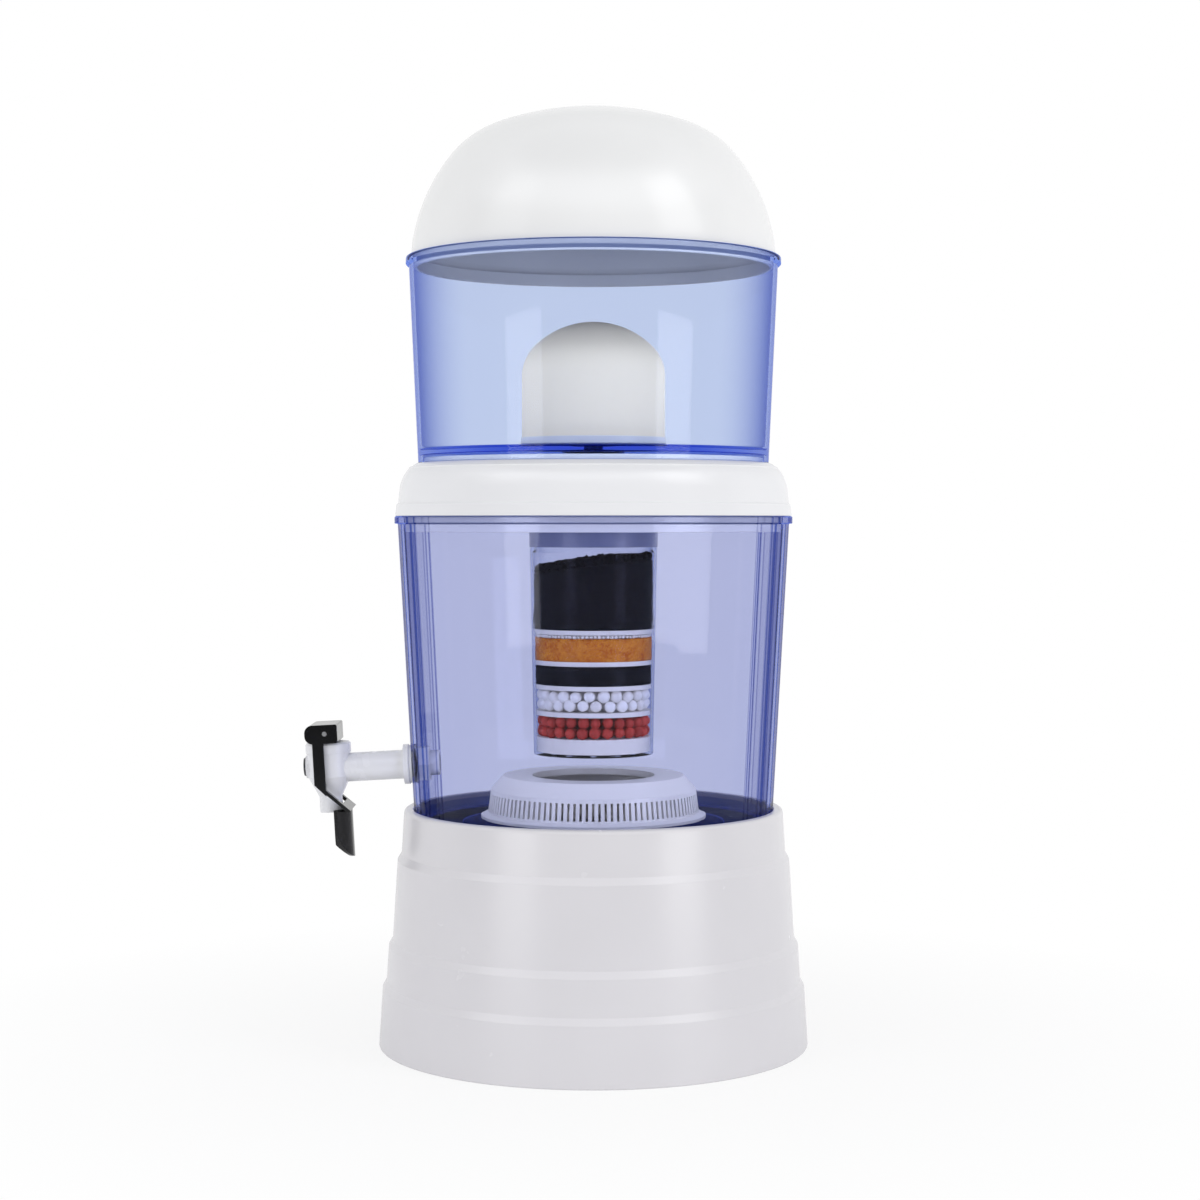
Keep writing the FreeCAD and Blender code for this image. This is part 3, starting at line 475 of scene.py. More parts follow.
# Diatomite pressed and fired without a glaze: matt, warm grey white, faintly sandy
CERAMIC = Mineral("fired_diatomite", "#fff3da", "#f8e9cc", 0.85, 1.1, 0.06, by_grain=False)
RED_BALLS = Mineral("fired_red_clay", "#d4473a", "#a02a22", 0.6, 0.9, 0.05)
WHITE_BALLS = Mineral("fired_white_clay", "#fffdf8", "#f0ebe2", 0.45, 0.9, 0.04)
COARSE_CARBON = Mineral("broken_activated_carbon", "#101019", "#030306", 0.6, 1.2, 0.25, specular=0.05)
FINE_CARBON = Mineral("ground_activated_carbon", "#12121b", "#040407", 0.7, 0.8, 0.2, specular=0.05)
STONES = Mineral("tumbled_maifan_stone", "#f6f0e2", "#cfc8b8", 0.6, 0.8, 0.08)
RESIN = Beads("amber_resin_beads", "#ee9630", "#c26014", 0.4, 1.1)
FELT = Felt("pressed_white_felt", "#fffaf2", "#e6e0d6")
STEEL = TurnedSteel("bright_stainless_steel", "#c9c9cc", 0.22)


# Surfaces worked out on grids


@dataclass
class Outline:
    """Outline of a turned piece in radius and height, walked with the material on its left."""

    closed: bool = True
    spots: list = field(default_factory=list)
    roundings: list = field(default_factory=list)

    def corner(self, radius: float, height: float, rounding: float = 0.4) -> "Outline":
        """Adds one corner and its rounding.

        Args:
            radius: its distance from the axis.
            height: its level.
            rounding: radius of its arc.

        Returns:
            The outline itself.
        """
        self.spots.append((radius, height))
        self.roundings.append(rounding)
        return self

    def curve(self, points: np.ndarray) -> "Outline":
        """Adds points that already lie on a smooth curve.

        Args:
            points: rows of radius and height.

        Returns:
            The outline itself.
        """
        self.spots.extend(map(tuple, points))
        self.roundings.extend([0.0] * len(points))
        return self

    def points(self, steps: int = 5) -> np.ndarray:
        """Draws each rounded corner as an arc tangent to both its sides, with one support point beside each end.

        The arc's centre lies on the corner's bisector, its radius over the sine of the half angle away.

        Args:
            steps: points on each arc.

        Returns:
            Rows of radius and height.
        """
        spots = np.array(self.spots, float)
        runs = []
        for k, rounding in enumerate(self.roundings):
            here, back, ahead = spots[k], spots[k - 1] - spots[k], spots[(k + 1) % len(spots)] - spots[k]
            if not rounding:
                runs.append(here[None])
                continue
            room = min(np.linalg.norm(back), np.linalg.norm(ahead))
            u, v = back / np.linalg.norm(back), ahead / np.linalg.norm(ahead)
            half = 0.5 * math.acos(float(np.clip(u @ v, -1.0, 1.0)))
            reach = min(rounding / math.tan(half), ARC_SHARE * room)
            radius = reach * math.tan(half)
            centre = here + (u + v) / np.linalg.norm(u + v) * radius / math.sin(half)
            first, last = here + u * reach - centre, here + v * reach - centre
            start = math.atan2(first[1], first[0])
            sweep = (math.atan2(last[1], last[0]) - start + math.pi) % (2 * math.pi) - math.pi
            angles = start + sweep * np.linspace(0, 1, steps)
            arc = centre + radius * np.stack([np.cos(angles), np.sin(angles)], -1)
            support = reach + SUPPORT_SHARE * (room - reach)
            runs.append(np.concatenate([[here + u * support], arc, [here + v * support]]))
        return np.concatenate(runs)


def arc_run(centre: tuple[float, float], radius: float, start: float, end: float, steps: int) -> np.ndarray:
    """Points on an arc: the centre plus the radius along each angle from start to end, in degrees."""
    angles = np.radians(np.linspace(start, end, steps))
    return np.array(centre) + radius * np.stack([np.cos(angles), np.sin(angles)], -1)


def woven(rings: np.ndarray, meets: bool = True) -> Surface:
    """Surface over a grid of points whose columns run round, and whose rows do too where the ends meet.

    Each face joins a point, its right neighbour, the one above that and the one above the point.

    Args:
        rings: array of rows, columns and three coordinates.
        meets: whether the last row joins the first.

    Returns:
        Points and four-sided faces.
    """
    rows, columns = rings.shape[:2]
    index = np.arange(rows * columns).reshape(rows, columns)
    above = np.roll(index, -1, 0)
    quads = np.stack([index, np.roll(index, -1, 1), np.roll(above, -1, 1), above], -1)
    return rings.reshape(-1, 3), (quads if meets else quads[:-1]).reshape(-1, 4)


def turned(outline: Outline, segments: int, swell: np.ndarray | None = None) -> Surface:
    """Surface of revolution: each outline point at its radius times the cosine and sine of every turn.

    Args:
        outline: the outline to turn about Z.
        segments: columns round the axis.
        swell: added to the radius, by row and column.

    Returns:
        Points and faces.
    """
    line = outline.points()
    turn = np.linspace(0, 2 * np.pi, segments, endpoint=False)
    radius = np.repeat(line[:, :1], segments, 1) + (0.0 if swell is None else swell)
    height = np.repeat(line[:, 1:], segments, 1)
    rings = np.stack([radius * np.cos(turn), radius * np.sin(turn), height], -1)
    return woven(rings, outline.closed)


def bar(low: tuple[float, ...], high: tuple[float, ...], rounding: float) -> Surface:
    """Straight bar: a rounded rectangle in Y and Z carried along X, its end rings drawn in to a point.

    Args:
        low: lowest corner.
        high: highest corner.
        rounding: radius of the long edges.

    Returns:
        Points and faces.
    """
    section = Outline()
    for y, z in ((high[1], low[2]), (high[1], high[2]), (low[1], high[2]), (low[1], low[2])):
        section.corner(y, z, rounding)
    line = section.points(4)
    middle = (np.array(low[1:]) + np.array(high[1:])) / 2
    share = np.array([0.0, 1.0, 1.0, 0.0])[:, None, None]
    across = middle + share * (line - middle)
    along = np.repeat(np.array([low[0], low[0], high[0], high[0]])[:, None, None], len(line), 1)
    return woven(np.concatenate([along, across], -1), meets=False)


def spun(surface: Surface, count: int, first: float = 0.0) -> Surface:
    """Copies a surface round Z at even turns: each copy is the points times the matrix of its turn.

    Args:
        surface: points and faces to copy.
        count: number of copies.
        first: bearing of the first one, in degrees.

    Returns:
        Points and faces of all copies.
    """
    points, faces = surface
    turns = math.radians(first) + 2 * np.pi * np.arange(count) / count
    cosine, sine, zero = np.cos(turns), np.sin(turns), np.zeros(count)
    matrix = np.stack([cosine, -sine, zero, sine, cosine, zero, zero, zero, zero + 1], -1).reshape(-1, 3, 3)
    copies = np.einsum("cij,pj->cpi", matrix, points).reshape(-1, 3)
    shifted = faces[None] + (np.arange(count) * len(points))[:, None, None]
    return copies, shifted.reshape(-1, 4)


def cube_ball(cells: int) -> Surface:
    """Unit ball: the six grids of a cube, every point divided by its own length.

    Args:
        cells: faces along each side of the cube.

    Returns:
        Points and faces, with shared points along the cube's edges.
    """
    step = np.linspace(-1, 1, cells + 1)
    u, v = np.meshgrid(step, step, indexing="ij")
    one = np.ones_like(u)
    sides = []
    for axis in range(3):
        sides.append(np.roll(np.stack([one, u, v], -1), axis, -1))
        sides.append(np.roll(np.stack([-one, v, u], -1), axis, -1))
    grid = np.stack(sides)
    index = np.arange(6 * (cells + 1) ** 2).reshape(6, cells + 1, cells + 1)
    quads = np.stack([index[:, :-1, :-1], index[:, 1:, :-1], index[:, 1:, 1:], index[:, :-1, 1:]], -1).reshape(-1, 4)
    points, merged = np.unique(np.round(grid.reshape(-1, 3), 6), axis=0, return_inverse=True)
    ball = points / np.linalg.norm(points, axis=1, keepdims=True)
    return ball, merged.reshape(-1)[quads]


def scattered(
    kind: Grain, centres: np.ndarray, sizes: np.ndarray, rng: np.random.Generator
) -> tuple[Surface, np.ndarray]:
    """Grains at given places: one ball stretched, roughened and turned at random for each.

    A turn is the matrix of a random unit quaternion. Roughness scales each point by a normal deviate.

    Args:
        kind: the grains' shape.
        centres: a row for each grain.
        sizes: mean radius of each grain.
        rng: the seeded source of chance.

    Returns:
        The surface, and a tone from 0 to 1 for each point, the same over a grain.
    """
    cells, stretch, rough = kind.value
    ball, quads = cube_ball(cells)
    count = len(centres)
    turn = rng.normal(size=(count, 4))
    w, x, y, z = (turn / np.linalg.norm(turn, axis=1, keepdims=True)).T
    matrix = np.stack(
        [
            1 - 2 * (y * y + z * z), 2 * (x * y - z * w), 2 * (x * z + y * w),
            2 * (x * y + z * w), 1 - 2 * (x * x + z * z), 2 * (y * z - x * w),
            2 * (x * z - y * w), 2 * (y * z + x * w), 1 - 2 * (x * x + y * y),
        ],
        -1,
    ).reshape(-1, 3, 3)
    scale = sizes[:, None] * (1 + stretch * rng.uniform(-1, 1, (count, 3)))
    shape = ball[None] * scale[:, None] * (1 + rough * rng.normal(size=(count, len(ball), 1)))
    points = centres[:, None] + np.einsum("nij,npj->npi", matrix, shape)
    faces = quads[None] + (np.arange(count) * len(ball))[:, None, None]
    tones = np.repeat(rng.uniform(0, PALEST, count), len(ball))
    return (points.reshape(-1, 3), faces.reshape(-1, 4)), tones


def ringed_layer(radius: float, grain: float, height: float, rng: np.random.Generator) -> np.ndarray:
    """Centres of one layer of grains in rings: the outer ring touches the wall, each next one lies a grain inside.

    Args:
        radius: radius of the room.
        grain: diameter of a grain.
        height: level of the layer's middle.
        rng: the seeded source of chance.

    Returns:
        A row for each grain.
    """
    rows = []
    for ring in np.arange(radius - grain / 2, 0.3 * grain, -0.93 * grain):
        count = int(2 * np.pi * ring / (1.02 * grain))
        turn = 2 * np.pi * (np.arange(count) + rng.uniform(-0.06, 0.06, count)) / count + rng.uniform(0, 6.28)
        level = height + 0.06 * grain * rng.uniform(-1, 1, count)
        rows.append(np.stack([ring * np.cos(turn), ring * np.sin(turn), level], -1))
    return np.concatenate(rows)


def make_piece(
    name: str,
    surface: Surface,
    finish: bpy.types.Material,
    body: str,
    stands_for: tuple[str, ...] = (),
    tones: np.ndarray | None = None,
    smooth: bool = True,
) -> bpy.types.Object:
    """Turns a surface into a finished piece that rides on its body.

    Args:
        name: the piece's name.
        surface: points in millimetres and faces.
        finish: its material.
        body: the body it moves with.
        stands_for: nodes of the frame that it replaces.
        tones: a tone for each point, where grains differ.
        smooth: whether its faces are shaded smooth.

    Returns:
        The piece.
    """
    points, faces = surface
    mesh = bpy.data.meshes.new(name)
    mesh.from_pydata((points * MM).tolist(), [], faces.tolist())
    if tones is not None:
        mesh.attributes.new("tint", "FLOAT", "POINT").data.foreach_set("value", tones.astype(np.float32))
    shell = bmesh.new()
    shell.from_mesh(mesh)
    bmesh.ops.remove_doubles(shell, verts=shell.verts, dist=MERGED)
    shell.to_mesh(mesh)
    shell.free()
    mesh.polygons.foreach_set("use_smooth", np.full(len(mesh.polygons), smooth))
    mesh.materials.append(finish)
    piece = bpy.data.objects.new(name, mesh)
    bpy.context.scene.collection.objects.link(piece)
    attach(piece, body)
    if stands_for:
        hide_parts(*stands_for)
    log.info("%s: %d faces on %s", name, len(mesh.polygons), body)
    return piece


def face_fields(piece: bpy.types.Object) -> tuple[np.ndarray, np.ndarray]:
    """Where the faces of a piece lie and which way they look.

    Args:
        piece: the piece.

    Returns:
        Middle of each face in millimetres, and its normal.
    """
    faces = piece.data.polygons
    fields = []
    for name in ("center", "normal"):
        values = np.empty(3 * len(faces), np.float32)
        faces.foreach_get(name, values)
        fields.append(values.reshape(-1, 3))
    return fields[0] / MM, fields[1]


def second_finish(piece: bpy.types.Object, finish: bpy.types.Material, chosen: np.ndarray) -> None:
    """Gives the chosen faces of a piece a finish of their own."""
    piece.data.materials.append(finish)
    piece.data.polygons.foreach_set("material_index", chosen.astype(np.int32))


def deepen(piece: bpy.types.Object, finish: bpy.types.Material, *bands: tuple[float, float]) -> None:
    """Gives faces that aren't upright the deeper finish, where they lie between two levels.

    Args:
        piece: the clear piece.
        finish: its finish along the edges.
        bands: lowest and highest level of each run of faces.
    """
    middles, normals = face_fields(piece)
    chosen = np.zeros(len(middles), bool)
    for low, high in bands:
        chosen |= (middles[:, 2] > low) & (middles[:, 2] < high) & (np.abs(normals[:, 2]) > UPRIGHT)
    second_finish(piece, finish, chosen)


def node_box(node: str) -> tuple[np.ndarray, np.ndarray]:
    """Lowest and highest corner of a node of the frame, in millimetres."""
    low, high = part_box(node)
    return np.array(low) / MM, np.array(high) / MM


def dress(finish: bpy.types.Material, *nodes: str) -> None:
    """Gives nodes of the frame that stay as they are a finish.

    Args:
        finish: the material.
        nodes: names of the nodes.
    """
    for node in nodes:
        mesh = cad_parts[node].data
        mesh.materials.clear()
        mesh.materials.append(finish)
        log.info("%s: kept, in %s", node, finish.name)


# The stack's shells


@dataclass
class Stand:
    """White banded stand: open below, with a recessed deck that seats the lower tank and ribs under the deck."""

    wall: float = 3.0
    draft: float = 0.063
    step: float = 2.3
    step_rise: float = 4.5
    step_heights: tuple[float, ...] = (37.4, 64.5, 119.5)
    step_rounding: float = 0.9
    seat_radius: float = 116.0
    deck_thickness: float = 3.0
    deck_opening: float = 84.0
    rib_height: float = 18.0
    rib_thickness: float = 2.5
    rib_count: int = 12
    segments: int = 288

    def side(self, inset: float) -> list[tuple[float, float]]:
        """Corners of the side from the floor up: drafted bands parted by short slopes.

        Args:
            inset: how far inside the outer face they lie.

        Returns:
            Radius and height of each corner.
        """
        foot = node_box("base_stand")[1][0]
        corners = []
        for k, height in enumerate(self.step_heights):
            corners.append((foot - self.draft * height - self.step * k - inset, height))
            risen = height + self.step_rise
            corners.append((foot - self.draft * risen - self.step * (k + 1) - inset, risen))
        return corners

    def build(self) -> None:
        """Turns the shell and stands the ribs in it."""
        low, high = node_box("base_stand")
        deck = node_box("lower_tank")[0][2]
        under = deck - self.deck_thickness
        top_radius = high[0] - self.draft * high[2] - self.step * len(self.step_heights)
        shell = Outline().corner(high[0], low[2], 0.8)
        for radius, height in self.side(0.0):
            shell.corner(radius, height, self.step_rounding)
        shell.corner(top_radius, high[2], 4.0)
        shell.corner(self.seat_radius, high[2], 0.8)
        shell.corner(self.seat_radius, deck, 0.6)
        shell.corner(self.deck_opening, deck, 0.8)
        shell.corner(self.deck_opening, under - self.rib_height, 0.6)
        shell.corner(self.deck_opening + self.wall, under - self.rib_height, 0.6)
        shell.corner(self.deck_opening + self.wall, under, 0.6)
        inner_top = top_radius - self.wall + self.draft * (high[2] - under)
        shell.corner(inner_top, under, 0.6)
        for radius, height in reversed(self.side(self.wall)):
            shell.corner(radius, height, self.step_rounding)
        shell.corner(high[0] - self.wall, low[2], 0.6)
        rib = bar(
            (self.deck_opening + self.wall / 2, -self.rib_thickness / 2, under - self.rib_height),
            (inner_top + self.wall / 2, self.rib_thickness / 2, under + self.deck_thickness / 2),
            0.4,
        )
        ribs = spun(rib, self.rib_count, 180 / self.rib_count)
        finish = STAND_PLASTIC.material()
        make_piece("stand_shell", turned(shell, self.segments), finish, "stand", ("base_stand",))
        make_piece("stand_ribs", ribs, finish, "stand")


@dataclass
class LowerTank:
    """Clear blue tub with many flat sides, softened at its corners, under a round rim."""

    sides: int = 36
    foot_radius: float = 115.2
    top_radius: float = 125.9
    wall: float = 3.0
    floor: float = 3.0
    foot_round: float = 8.0
    rim_height: float = 4.7
    corner_round: float = 5.0
    arc_points: int = 4
    flat_points: int = 4
    hole_radius: float = 8.4
    hole_height: float = 37.0
    rod_reach: float = 12.0
    rod_sides: int = 64
    arc_steps: int = 7

    def drill(self, tub: bpy.types.Object, foot: float, slope: float) -> None:
        """Cuts the tap's hole with a Boolean: a rod square to the leaning wall, taken away from the tub.

        Args:
            tub: the finished tub.
            foot: level of its foot.
            slope: how far the wall leans out for each millimetre up.
        """
        ends = ((AXIS_POINT, -1), (self.hole_radius, -1), (self.hole_radius, 1), (AXIS_POINT, 1))
        line = Outline(closed=False).curve(np.array([(radius, side * self.rod_reach) for radius, side in ends]))
        points, faces = turned(line, self.rod_sides)
        lean = math.atan(slope)
        across, along = np.array([1.0, 0.0, 0.0]), np.array([0.0, -math.cos(lean), -math.sin(lean)])
        middle = np.array([0.0, -(self.foot_radius + slope * self.hole_height) * math.cos(math.pi / self.sides), 0.0])
        middle += np.array([0.0, self.wall / 2, foot + self.hole_height])
        points = points @ np.stack([across, np.cross(along, across), along]) + middle
        rod = bpy.data.objects.new("tap_hole_rod", bpy.data.meshes.new("tap_hole_rod"))
        rod.data.from_pydata((points * MM).tolist(), [], faces.tolist())
        bpy.context.scene.collection.objects.link(rod)
        cut = tub.modifiers.new("tap_hole", "BOOLEAN")
        cut.operation, cut.solver, cut.object = "DIFFERENCE", "EXACT", rod
        drilled = bpy.data.meshes.new_from_object(tub.evaluated_get(bpy.context.evaluated_depsgraph_get()))
        tub.modifiers.clear()
        tub.data = drilled
        bpy.data.meshes.remove(rod.data)
        log.info("lower tank: %d faces with the tap's hole", len(drilled.polygons))

    def ring(self, radius: np.ndarray, round_share: np.ndarray) -> np.ndarray:
        """Sections of the tank: each corner an arc about a point on its own bearing, with points along the flats.

        Args:
            radius: corner radius of each section.
            round_share: 0 for the many-sided section, 1 for a circle.

        Returns:
            X and Y by section and by point.
        """
        half = math.pi / self.sides
        bearings = half * (2 * np.arange(self.sides) + 1) + math.pi / 2
        soft = np.minimum(self.corner_round, 0.3 * radius)
        centre = radius - soft / math.cos(half)
        swing = np.linspace(-half, half, self.arc_points)
        angle = (bearings[:, None] + swing)[None]
        heading = np.stack([np.cos(bearings), np.sin(bearings)], -1)[None, :, None]
        arc = centre[:, None, None, None] * heading
        arc = arc + soft[:, None, None, None] * np.stack([np.cos(angle), np.sin(angle)], -1)
        share = np.linspace(0, 1, self.flat_points + 1)[1:-1][None, None, :, None]
        flat = arc[:, :, -1:] * (1 - share) + np.roll(arc[:, :, :1], -1, 1) * share
        polygon = np.concatenate([arc, flat], 2).reshape(len(radius), -1, 2)
        bearing = np.arctan2(polygon[..., 1], polygon[..., 0])
        circle = radius[:, None, None] * np.stack([np.cos(bearing), np.sin(bearing)], -1)
        mix = round_share[:, None, None]
        return polygon * (1 - mix) + circle * mix

    def build(self) -> None:
        """Carries the many-sided section along the tub's outline and cuts the tap's hole."""
        low, high = node_box("lower_tank")
        slope = (self.top_radius - self.foot_radius) / (high[2] - low[2])
        rim_radius, rim_z = high[0], high[2] - self.rim_height
        inset = self.wall / math.cos(math.pi / self.sides)
        inner_top = self.top_radius - inset
        inner_foot = self.foot_radius + slope * self.floor - inset
        line = Outline(closed=False).curve(np.array([(AXIS_POINT, low[2])]))
        line.corner(self.foot_radius, low[2], self.foot_round)
        line.corner(self.top_radius - slope * self.rim_height, rim_z, 0.5)
        line.corner(rim_radius, rim_z, 0.8).corner(rim_radius, high[2], 1.0)
        line.corner(inner_top, high[2], 0.6)
        line.corner(inner_foot, low[2] + self.floor, self.foot_round - self.wall)
        line.curve(np.array([(AXIS_POINT, low[2] + self.floor)]))
        points = line.points(self.arc_steps)
        outside = self.foot_radius + slope * (points[:, 1] - low[2])
        share = np.clip((points[:, 0] - outside) / (rim_radius - self.top_radius), 0, 1)
        plan = self.ring(points[:, 0], share)
        levels = np.repeat(points[:, None, 1:], plan.shape[1], 1)
        tub = woven(np.concatenate([plan, levels], -1), meets=False)
        finish = LOWER_TANK_PLASTIC.material()
        piece = make_piece("lower_tank_tub", tub, finish, "lower_tank", ("lower_tank",))
        self.drill(piece, low[2], slope)
        rim = (rim_z - EDGE_REACH, high[2] + EDGE_REACH)
        foot = (low[2] - EDGE_REACH, low[2] + self.foot_round)
        deepen(piece, LOWER_TANK_EDGE.material(), rim, foot)


@dataclass
class MiddleCover:
    """White cover between the tanks: shouldered skirt, seat ring, plug wall and open deck, with a drip basin in it."""

    wall: float = 2.5
    shoulder_drop: float = 16.0
    shoulder_bulge: float = 1.8
    band_height: float = 7.5
    groove: float = 1.0
    band_draft: float = 0.11
    seat_outer: float = 113.3
    ring_outer: float = 108.9
    ring_inner: float = 106.3
    ring_height: float = 3.3
    basin_radius: float = 99.5
    basin_lip: float = 1.5
    slide_gap: float = 0.4
    collar_inner: float = 41.6
    collar_wall: float = 3.2
    collar_drop: float = 7.5
    plug_outer: float = 121.1
    shoulder_points: int = 18
    segments: int = 288
    basin_segments: int = 192

    def shoulder_run(self, low: tuple[float, float], high: tuple[float, float]) -> np.ndarray:
        """Curve over the shoulder: a quadratic through a bulged middle, both ends kept.

        Args:
            low: radius and height of its outer end.
            high: radius and height of its inner end.

        Returns:
            Rows of radius and height.
        """
        middle = np.array([(low[0] + high[0]) / 2, (low[1] + high[1]) / 2]) + self.shoulder_bulge
        pull = 2 * middle - (np.array(low) + np.array(high)) / 2
        t = np.linspace(0, 1, self.shoulder_points)[:, None]
        return (1 - t) ** 2 * np.array(low) + 2 * t * (1 - t) * pull + t**2 * np.array(high)

    def shell(self) -> Outline:
        """Outline of the cover without its basin.

        Returns:
            The outline, from its foot up over the shoulder and down the plug wall.
        """
        low, high = node_box("middle_cover")
        rim_z = node_box("lower_tank")[1][2]
        top = high[2] - self.ring_height
        foot = high[0]
        band_z = rim_z + self.band_height + self.groove
        band = foot - self.band_draft * (self.band_height + self.groove)
        waist = band - self.groove
        shoulder_z = top - self.shoulder_drop
        shoulder = waist - self.band_draft * (shoulder_z - band_z)
        hole = self.basin_radius + self.wall + self.slide_gap
        line = Outline().corner(foot, rim_z, 0.8).corner(band, band_z - self.groove, 0.6).corner(waist, band_z, 0.5)
        line.curve(self.shoulder_run((shoulder, shoulder_z), (self.seat_outer, top)))
        line.corner(self.ring_outer, top, 0.5).corner(self.ring_outer, high[2], 0.8)
        line.corner(self.ring_inner, high[2], 0.8).corner(self.ring_inner, top, 0.5)
        line.corner(hole, top, 0.5).corner(hole, top - self.wall, 0.5)
        line.corner(self.plug_outer - self.wall, top - self.wall, 0.8)
        line.corner(self.plug_outer - self.wall, low[2], 0.6).corner(self.plug_outer, low[2], 0.6)
        line.corner(self.plug_outer, shoulder_z, 0.5)
        line.corner(waist - self.wall, band_z, 0.5)
        return line.corner(foot - self.wall, rim_z, 0.5)

    def basin(self) -> Outline:
        """Outline of the drip basin.

        Returns:
            The outline, from its collar out and over its lip.
        """
        low, high = node_box("cover_basin")
        deck, floor = high[2] - self.basin_lip, low[2] + self.collar_drop
        collar_outer = self.collar_inner + self.collar_wall
        line = Outline().corner(self.collar_inner, low[2], 0.5).corner(collar_outer, low[2], 0.5)
        line.corner(collar_outer, floor - self.wall, 0.5).corner(self.basin_radius, floor - self.wall, 2.5)
        line.corner(self.basin_radius + self.wall, deck, 0.3).corner(high[0], deck, 0.3)
        line.corner(high[0], high[2], 0.6).corner(self.basin_radius, high[2], 1.0)
        return line.corner(self.basin_radius - self.wall, floor, 2.0).corner(self.collar_inner, floor, 0.5)

    def build(self) -> None:
        """Turns the cover and its basin."""
        finish = COVER_PLASTIC.material()
        body, slot = "middle_cover", "cover_plastic"
        make_piece("cover_shell", turned(self.shell(), self.segments), finish, body, ("middle_cover",))
        basin = turned(self.basin(), self.basin_segments)
        make_piece("cover_basin_shell", basin, finish, body, ("cover_basin",))


@dataclass
class UpperTank:
    """Clear blue round tub with a beaded rim and a short skirt under its floor."""

    foot_radius: float = 112.5
    top_radius: float = 118.4
    wall: float = 2.8
    floor: float = 3.0
    skirt: float = 5.3
    rim_height: float = 6.0
    corner: float = 3.0
    bead_rise: float = 1.8
    stem_hole: float = 6.4
    segments: int = 288

    def build(self) -> None:
        """Turns the tub from one outline."""
        low, high = node_box("upper_tank")
        slope = (self.top_radius - self.foot_radius) / (high[2] - low[2])
        rim_z, floor_top = high[2] - self.rim_height, low[2] + self.skirt + self.floor
        inner = self.foot_radius + slope * (self.skirt + self.floor) - self.wall
        line = Outline().corner(self.foot_radius, low[2], 0.6)
        line.corner(self.top_radius - slope * self.rim_height, rim_z, 0.6)
        line.corner(high[0], rim_z + self.bead_rise, 0.9).corner(high[0], high[2], 1.2)
        line.corner(self.top_radius - self.wall, high[2], 0.8)
        line.corner(inner, floor_top, self.corner)
        line.corner(self.stem_hole, floor_top, 0.3).corner(self.stem_hole, floor_top - self.floor, 0.3)
        line.corner(self.foot_radius - self.wall, floor_top - self.floor, 0.8)
        line.corner(self.foot_radius - self.wall, low[2], 0.6)
        tub = turned(line, self.segments)
        finish = UPPER_TANK_PLASTIC.material()
        piece = make_piece("upper_tank_tub", tub, finish, "upper_tank", ("upper_tank",))
        rim = (rim_z - EDGE_REACH, high[2] + EDGE_REACH)
        foot = (low[2] - EDGE_REACH, floor_top + EDGE_REACH)
        deepen(piece, UPPER_TANK_EDGE.material(), rim, foot)


@dataclass
class Lid:
    """White hollow dome whose outline is three tangent arcs, with a plug ring inside the tank's rim."""

    wall: float = 2.5
    height: float = 95.0
    crown: float = 190.0
    shoulder: float = 62.0
    side: float = 115.0
    draft: float = 4.0
    plug_inner: float = 112.4
    plug_outer: float = 115.0
    seam: float = 1.0
    arc_points: tuple[int, int, int] = (24, 40, 28)
    segments: int = 320

    def dome(self, inset: float, radius: float, foot: float) -> np.ndarray:
        """Side, shoulder and crown arcs from the foot to the axis.

        Two circles touch where their centres are as far apart as their radii differ, which gives the shoulder's
        centre as the point at those two distances from the side's and the crown's centres.

        Args:
            inset: how far inside the outer face it lies.
            radius: outer radius at the foot.
            foot: level of the foot.

        Returns:
            Rows of radius and height.
        """
        reach, rise = radius - inset, self.height - inset
        crown, shoulder, side = self.crown - inset, self.shoulder - inset, self.side - inset
        turn = math.radians(self.draft)
        side_centre = np.array([reach - side * math.cos(turn), foot - side * math.sin(turn)])
        crown_centre = np.array([0.0, foot + rise - crown])
        gap = side_centre - crown_centre
        apart = float(np.linalg.norm(gap))
        along = ((crown - shoulder) ** 2 - (side - shoulder) ** 2 + apart**2) / (2 * apart)
        lean = math.acos(along / (crown - shoulder))
        heading = math.atan2(gap[1], gap[0]) - lean
        centre = crown_centre + (crown - shoulder) * np.array([math.cos(heading), math.sin(heading)])
        side_end = math.degrees(math.atan2(*(centre - side_centre)[::-1]))
        crown_start = math.degrees(math.atan2(*(centre - crown_centre)[::-1]))
        first, second, third = self.arc_points
        rising = arc_run(tuple(side_centre), side, self.draft, side_end, first)[:-1]
        turning = arc_run(tuple(centre), shoulder, side_end, crown_start, second)[:-1]
        crowning = arc_run(tuple(crown_centre), crown, crown_start, 90 - AXIS_POINT, third)
        return np.concatenate([rising, turning, crowning])

    def build(self) -> None:
        """Turns the shell from the inner crown, round the plug, to the outer crown."""
        low, high = node_box("lid_dome")
        rim = high[2] - self.height
        radius = high[0]
        inside = self.dome(self.wall, radius, rim)[::-1]
        line = Outline(closed=False).curve(inside[inside[:, 1] > rim + 2 * self.seam])
        line.corner(self.plug_inner, rim + self.seam, 0.4).corner(self.plug_inner, low[2], 0.6)
        line.corner(self.plug_outer, low[2], 0.8).corner(self.plug_outer, rim, 0.2)
        line.corner(radius, rim, 0.5)
        line.curve(self.dome(0.0, radius, rim)[1:])
        dome = turned(line, self.segments)
        shell = make_piece("lid_shell", dome, LID_PLASTIC.material(), "lid", ("lid_dome",))
        middles, normals = face_fields(shell)
        faces_in = ((middles - np.array([0.0, 0.0, low[2]])) * normals).sum(1) < 0
        # The inside faces get the greyer copy of the lid plastic: painted shade for the hollow under the dome
        second_finish(shell, LID_INSIDE_PAINTED_SHADE.material(), faces_in)


